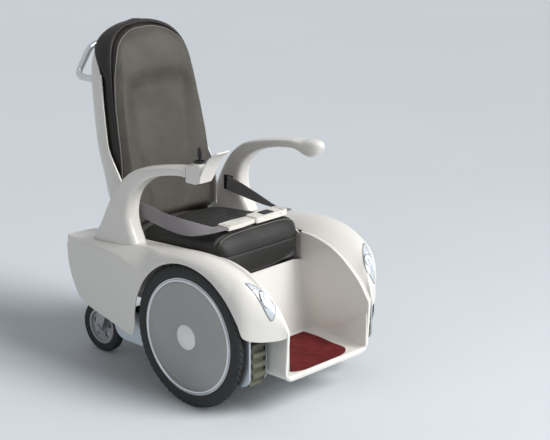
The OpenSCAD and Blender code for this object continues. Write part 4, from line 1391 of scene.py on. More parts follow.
@dataclass
class Footwell:
    """Open tub in front of the seat."""

    inner: float = 178.0
    floor: float = 130.0
    wall: float = 11.5
    panel: float = 3.0
    corner: float = 24.0
    front: float = -298.0
    rear: float = -42.0
    lean: float = 8.0
    lean_z: Pair = (128.0, 290.0)
    reach: float = 28.0
    reach_z: Pair = (275.0, 300.0)
    rows: int = 40
    lip_y: float = -292.0
    lip_r: float = 8.0
    lip_gap: float = 4.0
    back_line: Line = ((-62, 130.4), (-46, 130.4), (-7, 364))
    back_flat: float = 147.0
    back_round: float = 30.6
    bead_y: Pair = (-304.0, -14.0)
    bead_r: float = 2.6
    kick_y: Pair = (-299.0, -60.0)
    kick_h: float = 118.0
    kick_gap: float = 3.2

    def spot(self, x: float, z: float, v: float) -> Point:
        """Point of the tub at a share v of the way back, leaning forward with height."""
        start = self.front - self.lean * ease(*self.lean_z, z)
        return (x, start + (self.rear + self.reach * ease(*self.reach_z, z) - start) * v, z)

    def section(self, v: float) -> list[Point]:
        """U section at a share v of the way back, from the right rim to the left.

        Args:
            v: Share of the way back.

        Returns:
            The section.
        """
        rim = curve(INNER, self.spot(0.0, self.reach_z[1], v)[1]) - 1
        low, flat = self.floor + self.corner, self.inner - self.corner
        half: list[Pair] = [(self.inner, z) for z in span(rim, low, 14)[:-1]]
        for t in span(0.0, QUARTER, 8):
            half.append((flat + self.corner * math.cos(t), low - self.corner * math.sin(t)))
        half += [(flat * (1 - k / 8), self.floor) for k in range(1, 9)]
        right = [self.spot(-x, z, v) for x, z in half]
        return right + [self.spot(x, z, v) for x, z in reversed(half[:-1])]

    def shell(self) -> Piece:
        """Floor and sides of the tub.

        Returns:
            The shell.
        """
        rings = [self.section(k / self.rows) for k in range(self.rows + 1)]
        piece = loft("tub_shell", rings, face_from=at(0, -170, -5000))
        thicken(piece, self.wall)
        round_edges(piece, 3.5, 4, RIM_ANGLE)
        return piece

    def lip(self) -> Piece:
        """Round front edge of the floor."""
        xs = span(self.lip_gap - self.inner, self.inner - self.lip_gap, 24)
        return tube("tub_lip", [(x, self.lip_y, self.floor - 1) for x in xs], self.lip_r, UP, 20)

    def back(self) -> Piece:
        """Rear wall, rounded into the floor and the sides.

        Returns:
            The wall.
        """
        edge = [(self.back_flat + self.back_round * math.sin(t),
                 -self.back_round * (1 - math.cos(t))) for t in span(QUARTER, 0.0, 10)]
        flat = [(x, 0.0) for x in span(-self.back_flat, self.back_flat, 8)[1:-1]]
        across = [(-x, d) for x, d in edge] + flat + edge[::-1]
        line = rounded(self.back_line, 14, 8, False)
        piece = loft("tub_back", [[(x, y + d, z) for x, d in across] for y, z in line],
                     face_from=at(0, 3000, 230))
        thicken(piece, self.panel)
        return piece

    def bead(self, side: Side) -> Piece:
        """Bead between the tub's rim and the fender."""
        line = [(BODY_X - 0.9, y, curve(INNER, y) - 2.1) for y in span(*self.bead_y, 60)]
        return tube("rim_bead", side.place(line), self.bead_r, (1, 0, 0), 10)

    def kick(self, side: Side) -> Piece:
        """Low panel on the tub's side, falling away to the rear.

        Args:
            side: Side of the chair.

        Returns:
            The panel.
        """
        rings = []
        low, x = self.floor + 0.5, self.inner - self.kick_gap
        for k, y in enumerate(span(*self.kick_y, self.rows)):
            top = self.floor + self.kick_h * (1 - k / self.rows) ** 1.7 + 1
            rings.append(side.place([(x, y, z) for z in span(low, top, 8)]))
        piece = loft("kick_panel", rings, face_from=at(side.value * 260, -180, 180))
        thicken(piece, self.panel)
        round_edges(piece, 1.4, 3, RIM_ANGLE)
        return piece

    def build(self) -> None:
        """Builds and dresses the tub with its lip, rear wall, beads and kick panels."""
        parts = [self.shell(), self.lip(), self.back()]
        for side in Side:
            parts += [self.bead(side), self.kick(side)]
        piece = joined("footwell_shell", parts)
        dress(piece, 40, TUB_WHITE, "base", "white_plastic", "footwell_tub")


@dataclass
class Arms:
    """Arched armrests, the left one ending in a drooping knob."""

    rows: int = 110
    around: int = 64
    power: float = 0.5
    stations: Pair = (0.3, 12.0)
    foot_middle: Pair = (251.0, 363.5)
    foot_shares: Sequence[float] = (0.7, 0.92, 1.0)
    foot_gap: float = 0.4
    end_steps: Line = ((0.985, 1.0), (0.95, 1.7), (0.8, 2.0))
    knob_x: float = 238.0
    knob_soften: float = 0.14
    knob_droop: float = 5.0
    knob_steps: int = 7

    def ring(self, s: float) -> list[Point]:
        """Closed section at station s.

        Args:
            s: Station along the arm.

        Returns:
            The section.
        """
        ay, az, by, bz = (curve(t, s) for t in (ARM_UP_Y, ARM_UP_Z, ARM_LOW_Y, ARM_LOW_Z))
        x, w = curve(ARM_X, s), curve(ARM_HALF, s)
        out = []
        for p in turns(self.around):
            c, d = spow(math.cos(p), self.power), spow(math.sin(p), self.power)
            y, z = (ay + by) / 2 + (ay - by) / 2 * d, (az + bz) / 2 + (az - bz) / 2 * d
            out.append((x + w * c, y, z))
        return out

    def foot(self, fenders: Fenders, share: float) -> list[Point]:
        """Ring of the foot that lies just over the fender.

        Args:
            fenders: Fenders that the arm stands on.
            share: Share of the foot's size.

        Returns:
            The ring.
        """
        mx, my = self.foot_middle
        pts = [(mx + (x - mx) * share, my + (y - my) * share) for x, y, _ in self.ring(0.0)]
        return [(x, y, fenders.top(x, y) + self.foot_gap) for x, y in pts]

    def knob(self) -> list[list[Point]]:
        """Rings of the drooping knob.

        Returns:
            The rings.
        """
        tables = [[(i, k[c]) for i, k in enumerate(KNOB)] for c in range(4)]
        rings = []
        for j in range(1, self.knob_steps * (len(KNOB) - 1) + 1):
            s = j / self.knob_steps
            y, z, h, w = (curve(t, s) for t in tables)
            power = self.power + self.knob_soften * ease(0, 3, s)
            droop = self.knob_droop * ease(12, -12, y)
            rings.append([(self.knob_x + w * spow(math.cos(p), power), y + droop * math.sin(p),
                           z + h * spow(math.sin(p), power)) for p in turns(self.around)])
        return rings

    def end(self, ring: Sequence[Point]) -> list[list[Point]]:
        """Rings that close the right arm behind the joystick pod.

        Args:
            ring: Last ring of the arm.

        Returns:
            The rings.
        """
        mx, mz = (sum(p[c] for p in ring) / len(ring) for c in (0, 2))
        return [[(mx + (x - mx) * f, y - dy, mz + (z - mz) * f) for x, y, z in ring]
                for f, dy in self.end_steps]

    def build(self, fenders: Fenders) -> None:
        """Builds and dresses both arms.

        Args:
            fenders: Fenders that the arms stand on.
        """
        body = [self.foot(fenders, share) for share in self.foot_shares]
        body += [self.ring(s) for s in span(*self.stations, self.rows)]
        for side, tail in ((Side.RIGHT, self.end(body[-1])), (Side.LEFT, self.knob())):
            rings = [side.place(r) for r in body + tail]
            piece = loft(f"arm_arch_{side.word}", capped(rings), True)
            dress(piece, 50, SHELL_WHITE, "base", "white_plastic", f"armrest_{side.word}")


def swell(piece: Piece, voxel: float, cap: float, hold: Callable[[Vector], float]) -> None:
    """Fills a cushion by cloth pressure, then smooths it.

    Args:
        piece: Closed cushion, a little smaller than it will be.
        voxel: Size of the remesh, in millimetres.
        cap: Furthest that a point may move, in millimetres.
        hold: Share of its movement that a point keeps, from its place in metres.
    """
    finish_with(piece, "REMESH", mode="VOXEL", voxel_size=voxel * MM)
    rest = [v.co.copy() for v in piece.data.vertices]
    cloth = piece.modifiers.new("filling", "CLOTH")
    cloth.settings.use_pressure = True
    cloth.settings.uniform_pressure_force = FILL_PRESSURE
    cloth.settings.effector_weights.gravity = 0.0
    cloth.settings.quality = 4
    cloth.point_cache.frame_start, cloth.point_cache.frame_end = 1, FILL_FRAMES
    for frame in range(1, FILL_FRAMES + 1):
        bpy.context.scene.frame_set(frame)
    done = piece.evaluated_get(bpy.context.evaluated_depsgraph_get())
    full = [v.co.copy() for v in done.data.vertices]
    piece.modifiers.remove(cloth)
    bpy.context.scene.frame_set(1)
    for v, a, b in zip(piece.data.vertices, rest, full):
        move = b - a
        if move.length > cap * MM:
            move *= cap * MM / move.length
        v.co = a + move * hold(a)
    finish_with(piece, "SMOOTH", factor=0.5, iterations=10)
    finish_with(piece, "SUBSURF", levels=1, render_levels=1)


@dataclass
class Seat:
    """Seat cushion with a rolled front and a sewn line across it."""

    front: float = -27.0
    nose: float = 14.0
    rear: float = 339.0
    rear_round: float = 21.0
    step: float = 4.0
    crown: float = 10.0
    power: float = 0.42
    around: int = 96
    voxel: float = 4.5
    cap: float = 5.0
    fill: float = 0.7
    seam_y: float = 12.0
    seam_depth: float = 6.0
    seam_half: float = 8.0
    seam_pinch: float = 3.0
    seam_from: float = 405.0
    fold_z: float = 446.0
    fold_half: float = 5.0
    fold_depth: float = 2.0
    cord_half: float = 163.0
    cord_r: float = 1.7
    cord_lift: float = 0.4

    def stations(self) -> list[float]:
        """Y of the sections, closer together at both ends.

        Returns:
            The values of Y.
        """
        start = self.front + self.nose
        out = [self.front + self.nose * (k / 14) ** 1.5 for k in range(14)]
        out += [start + self.step * k for k in range(int((self.rear - start) / self.step))]
        return out + [self.rear + self.rear_round * math.sin(QUARTER * k / 10) for k in range(11)]

    def ring(self, y: float) -> list[Point]:
        """Closed section at y.

        Args:
            y: Place along the seat.

        Returns:
            The section.
        """
        e = min(1.0, max(0.0, (y + 27) / 40), max(0.0, (364 - y) / 40))
        w, low, top = curve(SEAT_HALF, y) + 4 * e, curve(SEAT_LOW, y), curve(SEAT_TOP, y)
        out = []
        for p in turns(self.around):
            soft = self.power * ease(70, -10, y) if math.sin(p) < 0 else 0.0
            c, s = (spow(f(p), self.power + soft) for f in (math.cos, math.sin))
            high = top + self.crown * e * (1 - c * c)
            out.append((w * c, y, (low + high) / 2 + (high - low) / 2 * s))
        return out

    def hold(self, p: Vector) -> float:
        """Share of the filling that a point keeps: none low down, little at the front."""
        y, z = (p.y - AXLE_Y) / MM, p.z / MM
        return ease(398, 425, z) * (0.3 + 0.7 * ease(15, 70, y))

    def sew(self, pad: Piece) -> None:
        """Draws the pad in along the seam across its top and the fold in its front.

        Args:
            pad: Filled cushion.
        """
        for v in pad.data.vertices:
            y = (v.co.y - AXLE_Y) / MM
            z = v.co.z / MM
            if z > self.seam_from:
                near = bump(y - self.seam_y, self.seam_half)
                v.co.z -= self.seam_depth * MM * near * ease(470, 495, z)
                pinch = math.copysign(self.seam_pinch * MM, v.co.x) * near
                v.co.x -= pinch * ease(0.14, 0.17, abs(v.co.x))
            if y < 2:
                v.co.y += self.fold_depth * MM * bump(z - self.fold_z, self.fold_half)
        pad.data.update()
        bpy.context.view_layer.update()

    def cord(self, pad: Piece) -> Piece:
        """Piping along the front shoulder of the seam.

        Args:
            pad: Sewn cushion.

        Returns:
            The cord.
        """
        path = []
        y = self.seam_y - self.seam_half
        for x in span(-self.cord_half, self.cord_half, 60):
            found, p, _, _ = pad.ray_cast(at(x, y, 620), Vector((0, 0, -1)))
            if found:
                path.append((x, y, p.z / MM + self.cord_lift))
        return tube("seat_piping", path, self.cord_r, (0, 1, 0), 8)

    def build(self) -> None:
        """Builds, fills, sews and dresses the cushion."""
        pad = loft("seat_pad", capped([self.ring(y) for y in self.stations()]), True)
        swell(pad, self.voxel, self.cap, self.hold)
        self.sew(pad)
        cord = self.cord(pad)
        dress(pad, 80, SEAT_DARK, "base", "upholstery", "seat_cushion")
        pad.data.materials.append(ROLL_DARK.material())
        for p in pad.data.polygons:
            if (p.center.y - AXLE_Y) / MM < self.seam_y - 5 or p.normal.z < 0.5:
                p.material_index = 1
        dress(cord, 60, PIPING_GREY, "base", "upholstery")


@dataclass
class Backrest:
    """White shell, padded front with its cap and apron, and chrome push handle."""

    wall: float = 5.0
    power: float = 0.6
    shell_low: float = 470.0
    shell_high: float = 1090.0
    shell_around: int = 72
    shell_rows: int = 90
    rim_front: float = 22.0
    rim_sweep: float = 46.0
    sweep_z: Pair = (725.0, 590.0)
    tuck: float = 5.0
    pad_rear: float = 8.5
    pad_depth: float = 72.0
    pad_low: float = 457.0
    pad_high: float = 1081.0
    pad_rows: int = 110
    pad_edge: float = 0.965
    flank: Line = ((0.99, 0.3), (1.0, 0.55), (0.995, 0.75))
    top_from: float = 950.0
    top_radius: float = 137.0
    voxel: float = 5.5
    cap: float = 6.0
    fill: float = 0.75
    piping_r: float = 2.3
    piping_least: float = 12.0
    cover_z: Sequence[float] = (940.0, 122.0, 1089.6)
    cover_over: float = 1.4
    cover_hem: float = 8.0
    cover_top: Line = ((0.7, 1090.6), (0.4, 1091.2), (0.1, 1091.6))
    roll_rim: Pair = (870.0, 1089.0)
    roll_pad: Pair = (863.0, 1074.0)
    roll_tops: Pair = (1092.2, 1077.0)
    roll_steps: int = 52
    roll_full: float = 4.0
    apron_half: float = 166.0
    apron_line: Line = ((404, 469), (387, 449), (373, 432))
    apron_wall: float = 2.6
    handle_r: float = 11.0
    handle_bend: float = 32.2
    leg_x: float = 165.0
    leg_z: float = 915.0
    bar_x: float = 100.0
    bar_y: float = 651.0
    bar_z: float = 1009.0

    def sweep(self, z: float) -> float:
        """How far the shell's rim reaches forward at height z."""
        return self.rim_sweep * ease(*self.sweep_z, z)

    def trough(self, size: Pair, y: float, z: float, p: float) -> Point:
        """Point of the shell's section in direction p, from its half width and depth."""
        c, s = spow(math.cos(p), self.power), spow(math.sin(p), self.power)
        return (size[0] * c, y + size[1] * s, z)

    def shell(self) -> Piece:
        """Trough behind the cushion, with a rounded rim.

        Returns:
            The shell.
        """
        rings = []
        for j in range(self.shell_rows + 1):
            z = self.shell_low + (self.shell_high - self.shell_low) * slow(j / self.shell_rows, 1.7)
            size = curve(BACK_HALF, z), curve(SHELL_DEPTH, z) + self.sweep(z)
            y = back_y(z) - self.rim_front - self.sweep(z)
            z -= self.tuck * ease(1030, 1085, z)
            rings.append([self.trough(size, y, z, p) for p in half_turn(self.shell_around)])
        top = rings[-1]
        rings.append([(x * 0.3, top[0][1] + (y - top[0][1]) * 0.6, z) for x, y, z in top])
        piece = loft("back_shell", rings, face_from=at(0, 440, 750))
        thicken(piece, self.wall)
        round_edges(piece, 2.0, 4, RIM_ANGLE)
        return piece

    def half(self, z: float) -> float:
        """Half width of the cushion at height z."""
        return curve(BACK_HALF, z + 9 * max(0.0, (z - 900) / 180)) - 8

    def panel(self, z: float) -> float:
        """Half width of the middle panel, as a share of the cushion's."""
        return 0.34 + 0.3 * min(1.0, (z - 474) / 450)

    def front(self, z: float) -> float:
        """Half width of the front panel, inside the piping."""
        return self.half(z + 9 * ease(820, 1020, z)) - 9

    def relief(self, u: float, z: float) -> float:
        """Depth of the front at a share u across, as a share of the full depth.

        Args:
            u: Share of the half width.
            z: Height.

        Returns:
            The share.
        """
        a, inner = abs(u), self.panel(z)
        head = ease(885, 960, z + 30 * a * a)
        rise = min(1.0, max(0.0, (a - inner) / (0.8 - inner)))
        low = 1.02 - (0.42 - 0.12 * ease(480, 880, z)) * (1 - rise ** 0.9)
        high = 1.02 + 0.05 * (1 - a * a) - 0.06 * ease(990, 1070, z)
        return low * (1 - head) + high * head

    def thick(self, z: float) -> float:
        """Depth of the cushion at height z, drawn in round the top."""
        over = max(0.0, z - self.top_from) / self.top_radius
        return self.pad_depth * math.sqrt(max(0.02, 1 - over ** 2))

    def ring(self, z: float) -> list[Point]:
        """Closed section of the cushion at height z: rear, flank, front and other flank.

        Args:
            z: Height.

        Returns:
            The section.
        """
        w = self.half(z)
        t = math.sqrt(min(1.0, 0.35 + (z - self.pad_low) / 26)) * self.thick(z)
        y = back_y(z) - self.pad_rear
        rear: list[Point] = [(u * w * 0.9, y, z) for u in (-0.9 + 0.1 * k for k in range(19))]
        w *= 1 - 0.02 * ease(*self.sweep_z, z)
        flank = [(w * self.pad_edge, y - 5, z), *((w * a, y - b * t, z) for a, b in self.flank)]
        front = []
        for k in range(41):
            u = self.pad_edge * math.sin(QUARTER * (1 - k / 20))
            depth = self.relief(u, z) - 0.1 * ease(0.86, self.pad_edge, abs(u))
            front.append((u * w, y - t * depth, z))
        return rear + flank + front + Side.RIGHT.place(flank[::-1])

    def cushion(self) -> Piece:
        """Padded front with bolsters, a tapered middle panel and a head roll.

        Returns:
            The cushion.
        """
        zs = [self.pad_low + (self.pad_high - self.pad_low) * slow(k / self.pad_rows, 1.25)
              for k in range(self.pad_rows + 1)]
        pad = loft("back_pad", capped([self.ring(z) for z in zs]), True)
        swell(pad, self.voxel, self.cap,
              lambda p: ease(-20, -45, (p.y - AXLE_Y) / MM - back_y(p.z / MM)))
        return pad

    def piping(self, pad: Piece) -> Piece:
        """Piping between the front and the side gusset, over the top.

        Args:
            pad: Filled cushion.

        Returns:
            The piping.
        """
        zs = [488 + 580 * slow(k / 90, 2) for k in range(91)]
        line = [(-self.front(z), z) for z in zs if self.front(z) > self.piping_least]
        line += [(-x, z) for x, z in reversed(line)]
        path = []
        for x, z in line:
            found, p, n, _ = pad.ray_cast(at(x, back_y(z) - 300, z), Vector((0, 1, 0)))
            if found:
                p = p + n * 0.6 * MM
                path.append((p.x / MM, (p.y - AXLE_Y) / MM, p.z / MM))
        return tube("back_piping", path, self.piping_r, (0, 1, 0), 8)

    def cover(self) -> Piece:
        """Leathercloth cap that wraps the top of the shell.

        Returns:
            The cap.
        """
        foot, rise, head = self.cover_z
        rings = []
        for j in range(25):
            ring = []
            for p in half_turn(60):
                low = foot + rise * math.sin(p) ** 0.45
                z = low + (head - low) * slow(j / 24, 1.7)
                size = tuple(curve(t, z) + self.cover_over for t in (BACK_HALF, SHELL_DEPTH))
                y = back_y(z) - self.rim_front - 1.5 + 4.5 * ease(985, 1040, z)
                ring.append(self.trough(size, y, z, p))
            (ax, ay, az), (bx, by, bz) = ring[0], ring[-1]
            rings.append([(ax + self.cover_hem, ay, az), *ring, (bx - self.cover_hem, by, bz)])
        top = rings[-1]
        rings += [[(x * share, y, z) for x, y, _ in top] for share, z in self.cover_top]
        piece = loft("head_cover", rings, face_from=at(0, 440, 900))
        thicken(piece, 1.0)
        return piece

    def roll(self) -> Piece:
        """Soft roll of the cap, from the shell's rim down to the side of the pad.

        Returns:
            The roll.
        """
        rim = [(curve(BACK_HALF, z) + 2.0, z) for z in span(*self.roll_rim, 70)]
        pad = [(self.half(z) - 4.0, z) for z in span(*self.roll_pad, 70)]
        rim, pad = (evenly([*line, (0.0, top)], self.roll_steps)
                    for line, top in zip((rim, pad), self.roll_tops))
        rings = []
        for (rx, rz), (px, pz) in zip(rim, pad):
            py = back_y(pz) - self.pad_rear - 0.72 * self.thick(pz)
            ry, share = back_y(rz) - self.rim_front, max(0.05, ease(872, 985, rz))
            rx, ry, rz = (p + (r - p) * share for r, p in ((rx, px), (ry, py), (rz, pz)))
            ring = []
            for a in span(0.0, QUARTER, 12):
                c = math.cos(a)
                y = ry + (py - ry) * math.sin(a) - self.roll_full * share * math.sin(2 * a)
                ring.append((px + (rx - px) * c, y, pz + (rz - pz) * c))
            rings.append([*ring, (px, ry + 3, pz), (rx, ry + 3, rz)])
        rings += [Side.RIGHT.place(r) for r in reversed(rings[:-1])]
        return loft("head_roll", capped(rings), True)

    def apron(self) -> Piece:
        """Black panel that fills the gap between the pad's lower edge and the seat, as painted
        shade in that gap.

        Returns:
            The apron.
        """
        across = span(-self.apron_half, self.apron_half, 40)
        rings = [[(x, y, z) for x in across] for y, z in rounded(self.apron_line, 14, 6, False)]
        piece = loft("back_apron", rings, face_from=at(0, 900, 440))
        thicken(piece, self.apron_wall)
        round_edges(piece, 0.9, 2, RIM_ANGLE)
        return piece

    def handle_path(self) -> list[Point]:
        """Middle line of the bent tube, from foot to foot.

        Returns:
            The points.
        """
        half = [Vector((self.leg_x, back_y(926) + 8.2, self.leg_z)),
                Vector((self.leg_x, self.bar_y, self.leg_z)),
                Vector((self.bar_x, self.bar_y, self.bar_z))]
        pts = half + [Vector((-c.x, c.y, c.z)) for c in reversed(half)]
        out: list[Point] = [tuple(pts[0])]
        for a, c, b in zip(pts, pts[1:], pts[2:]):
            start = c + (a - c).normalized() * self.handle_bend
            end = c + (b - c).normalized() * self.handle_bend
            for t in span(0.0, 1.0, 12):
                out.append(tuple(start * (1 - t) ** 2 + c * 2 * t * (1 - t) + end * t * t))
        return [*out, tuple(pts[-1])]

    def build(self) -> None:
        """Builds and dresses the backrest."""
        dress(self.shell(), 50, SHELL_WHITE, "backrest", "white_plastic", "backrest_shell")
        pad = self.cushion()
        cord = self.piping(pad)
        dress(pad, 80, PAD_GREY, "backrest", "upholstery", "backrest_cushion")
        pad.data.materials.append(GUSSET_BLACK.material())
        crest = max(z for z in range(1000, 1080) if self.front(z) > self.piping_least)
        for p in pad.data.polygons:
            x, z = abs(p.center.x) / MM, p.center.z / MM
            if x > self.front(z) or z > crest or p.normal.y > 0.3:
                p.material_index = 1
        cap = joined("head_cover", [self.cover(), self.roll()])
        dress(cap, 50, GUSSET_BLACK, "backrest", "upholstery")
        # The black apron is a dark sheet in the gap under the pad: painted shade.
        dress(self.apron(), 50, GUSSET_BLACK, "backrest", "upholstery")
        dress(cord, 60, PIPING_GREY, "backrest", "upholstery")
        bar = tube("handle_bar", self.handle_path(), self.handle_r, (0.13, 0.71, -0.7), 28)
        dress(bar, 60, CHROME, "backrest", "chrome_tube", "push_handle")


@dataclass
class LapBelt:
    """Two straps, the tongue and the buckle. Y of the fittings counts from the middle line."""

    middle_y: float = 26.0
    strap_w: float = 48.0
    strap_t: float = 1.8
    strap_bow: float = 0.7
    rows: int = 150
    corner: float = 6.0
    tongue_z: Pair = (519.0, 532.0)
    tongue_line: Line = (
        (-126, -25), (-126, 25), (-70, 27), (-10, 21), (-4.5, 17), (-4.5, -17), (-10, -21),
        (-70, -27))
    case_z: Pair = (517.0, 535.0)
    case_line: Line = (
        (-4, -22), (-4, 22), (4, 26), (112, 27), (136, 25), (136, -25), (112, -27), (4, -26))
    case_slots: Sequence[tuple[Point, Point]] = (
        ((40, -16, 527), (84, 16, 550)), ((118, -21, 529), (125, 21, 550)),
        ((-8, -15, 523), (8, 15, 528)), ((24, -31, 523), (34, -25, 530)),
        ((92, -31, 522), (104, -25, 530)))

    def strap(self, name: str, path: Sequence[Mark]) -> Piece:
        """Webbing along a path that tilts as it goes.

        Args:
            name: Name of the new piece.
            path: Its marks.

        Returns:
            The strap.
        """
        tables = [[(i, q[c]) for i, q in enumerate(path)] for c in range(4)]
        marks = [[curve(t, k / self.rows * (len(path) - 1)) for t in tables]
                 for k in range(self.rows + 1)]
        rings = []
        for k, (*place, tilt) in enumerate(marks):
            a, b = marks[max(0, k - 1)], marks[min(self.rows, k + 1)]
            d = Vector([b[c] - a[c] for c in range(3)]).normalized()
            f = d.cross(Vector(UP)).normalized()
            lean = math.radians(tilt)
            w = (f * math.cos(lean) + f.cross(d) * math.sin(lean)).normalized()
            n = d.cross(w)
            rings.append([tuple(Vector(place) + w * u * self.strap_w / 2
                                + n * self.strap_bow * (1 - u * u)) for u in span(-1, 1, 10)])
        piece = loft(name, rings, face_from=at(0, 220, 300))
        finish_with(piece, "SOLIDIFY", thickness=self.strap_t * MM, offset=0.0)
        round_edges(piece, 0.5, 2, RIM_ANGLE)
        return piece

    def plate(self, name: str, line: Line, heights: Pair) -> Piece:
        """Plate from its outline and its lower and upper face."""
        line = rounded([(x, y + self.middle_y) for x, y in line], self.corner)
        return prism(name, line, *heights, Axis.Z)

    def box(self, name: str, lo: Point, hi: Point, edge: float) -> Piece:
        """Box with rounded edges."""
        return block(name, *((x, y + self.middle_y, z) for x, y, z in (lo, hi)), edge)

    def tongue(self) -> None:
        """Builds and dresses the tongue with its blade and grip."""
        body = self.plate("tongue_body", self.tongue_line, self.tongue_z)
        cut(body, self.box("slot_tool", (-118, -21, 528), (-112, 21, 540), 1.0))
        round_edges(body, 2.6, 4)
        blade = self.box("tongue_blade", (-6, -14, 524), (33, 14, 527), 0.8)
        grip = self.box("tongue_grip", (-62, -10, 531), (-22, 10, 532.6), 0.7)
        piece = joined("belt_tongue_plate", [body, blade, grip])
        dress(piece, 35, BUCKLE_CREAM, "base", "buckle_plastic", "belt_tongue")

    def buckle(self) -> None:
        """Builds and dresses the buckle and its ribbed button."""
        case = self.plate("buckle_case", self.case_line, self.case_z)
        for lo, hi in self.case_slots:
            cut(case, self.box("slot_tool", lo, hi, 0.8))
        round_edges(case, 2.2, 4)
        dress(case, 35, BUCKLE_CREAM, "base", "buckle_plastic", "belt_buckle")
        parts = [self.box("button_cap", (40.7, -15.3, 531.5), (83.3, 15.3, 537.5), 2.0)]
        for x in (49, 58, 67, 76):
            parts.append(self.box("button_rib", (x, -11, 537), (x + 3, 11, 537.9), 0.4))
        piece = joined("button_press", parts)
        dress(piece, 35, SOFT_BLACK, "button", "black_plastic", "buckle_button")

    def build(self) -> None:
        """Builds and dresses the belt."""
        for side, path in ((Side.RIGHT, STRAP_RIGHT), (Side.LEFT, STRAP_LEFT)):
            piece = self.strap(f"webbing_{side.word}", path)
            dress(piece, 50, BELT_GREY, "base", "webbing", f"belt_strap_{side.word}")
        self.tongue()
        self.buckle()


@dataclass
class Controls:
    """Joystick pod, guard, collar and stick on the right arm."""

    pod_x: float = -238.0
    pod_half: float = 26.0
    pod_rear: Line = ((49.5, 700), (49.5, 738), (46, 746), (-12, 756), (-17, 752))
    pod_under: Line = ((2, 694), (40, 694))
    hinge: Pair = (-262.0, 51.0)
    pin_tool: Line = ((0, 690), (7.6, 690), (7.6, 760), (0, 760))
    knuckle: Line = ((3.1, 716.5), (5.8, 716.5), (5.8, 727.5), (3.1, 727.5))
    well_tool: Line = ((0, 725), (16.9, 725), (16.9, 802), (0, 802))
    lip: Line = ((17, 752), (21, 752), (21, 757), (17, 757))
    guard_half: float = 31.0
    guard_wall: float = 4.2
    collar_seat: Line = ((13, 750), (16.7, 750), (16.7, 757.3))
    collar_line: Line = ((16.7, 757.3), (21, 757.3), (20.5, 760), (17, 762.5), (13, 763))
    stick_y: float = 8.0
    stick_line: Line = (
        (0, 738), (4, 738), (4, 770), (4.6, 773), (6.6, 776), (7, 780), (7, 795), (6.4, 799.5),
        (4.8, 802.6), (2.4, 804), (0, 804.4))
    boot_line: Line = (
        (4.1, 745), (8.2, 745), (7.8, 750), (5.6, 755), (6.0, 757.5), (4.7, 761), (4.9, 763),
        (4.1, 766), (4.1, 745))
    pivot_half: float = 10.5
    pivot_z: float = 742.0

    def face(self, u: float) -> Pair:
        """Y and Z of the guard's rear face at a share u of its height."""
        return (-8 - 50 * u - 29 * u ** 4.6, 698 + 108 * u)

    def upright(self, name: str, line: Line, steps: int) -> Piece:
        """Piece turned about the stick's axis."""
        return lathe(name, line, (self.pod_x, self.stick_y), Axis.Z, steps)

    def pod(self) -> None:
        """Builds and dresses the pod with its hinge and the boss under the collar."""
        line = [*self.pod_rear, self.face(0.2), self.face(0.04), *self.pod_under]
        ends = self.pod_x - self.pod_half, self.pod_x + self.pod_half
        body = prism("pod_body", line, *ends, Axis.X)
        cut(body, lathe("pin_tool", self.pin_tool, self.hinge, Axis.Z))
        cut(body, self.upright("well_tool", self.well_tool, 40))
        round_edges(body, 3.0, 4)
        knuckle, lip = rounded(self.knuckle, 0.6, 3), rounded(self.lip, 1.2, 4)
        eye = lathe("pod_eye", [*knuckle, knuckle[0]], self.hinge, Axis.Z)
        x = self.hinge[0]
        arm = block("pod_arm", (x + 1, 43, 716.5), (x + 12, 49, 727.5), 0.8)
        boss = self.upright("pod_boss", [*lip, lip[0]], 56)
        piece = joined("joystick_pod_case", [body, eye, arm, boss])
        dress(piece, 35, SHELL_WHITE, "pod", "white_plastic", "joystick_pod")

    def guard(self) -> None:
        """Builds and dresses the leaf that shields the hand."""
        rings = []
        for u in span(0.02, 1.0, 40):
            y, z = self.face(u)
            half = self.guard_half - 5 * ease(0.25, 0.0, u)
            pull = 6 * ease(0.9, 1.0, u) ** 2
            rings.append([(self.pod_x + (half - pull * abs(s) ** 6) * s, y - 2.2 * s * s,
                           z + 1.5 * s * s) for s in span(-1, 1, 16)])
        leaf = loft("guard_leaf", rings, face_from=at(self.pod_x, 60, 740))
        thicken(leaf, -self.guard_wall)
        round_edges(leaf, 1.6, 4, RIM_ANGLE)
        dress(leaf, 45, SHELL_WHITE, "pod", "white_plastic", "hand_guard")

    def stick(self) -> None:
        """Builds and dresses the collar, then the stick with its pivot and boot."""
        line = [*self.collar_seat, *rounded(self.collar_line, 1.0, 4, False), self.collar_seat[0]]
        collar = self.upright("stick_collar", line, 56)
        dress(collar, 40, SOFT_BLACK, "pod", "black_plastic", "joystick_collar")
        grip = self.upright("stick_grip", self.stick_line, 36)
        ends = self.stick_y - self.pivot_half, self.stick_y + self.pivot_half
        path = [(self.pod_x, y, self.pivot_z) for y in span(*ends, 4)]
        pivot = tube("stick_pivot", path, 2.0, UP, 16)
        boot = self.upright("stick_boot", self.boot_line, 36)
        piece = joined("joystick_grip", [grip, pivot, boot])
        dress(piece, 45, SOFT_BLACK, "stick", "black_plastic", "joystick_stick")

    def build(self) -> None:
        """Builds and dresses the joystick."""
        self.pod()
        self.guard()
        self.stick()


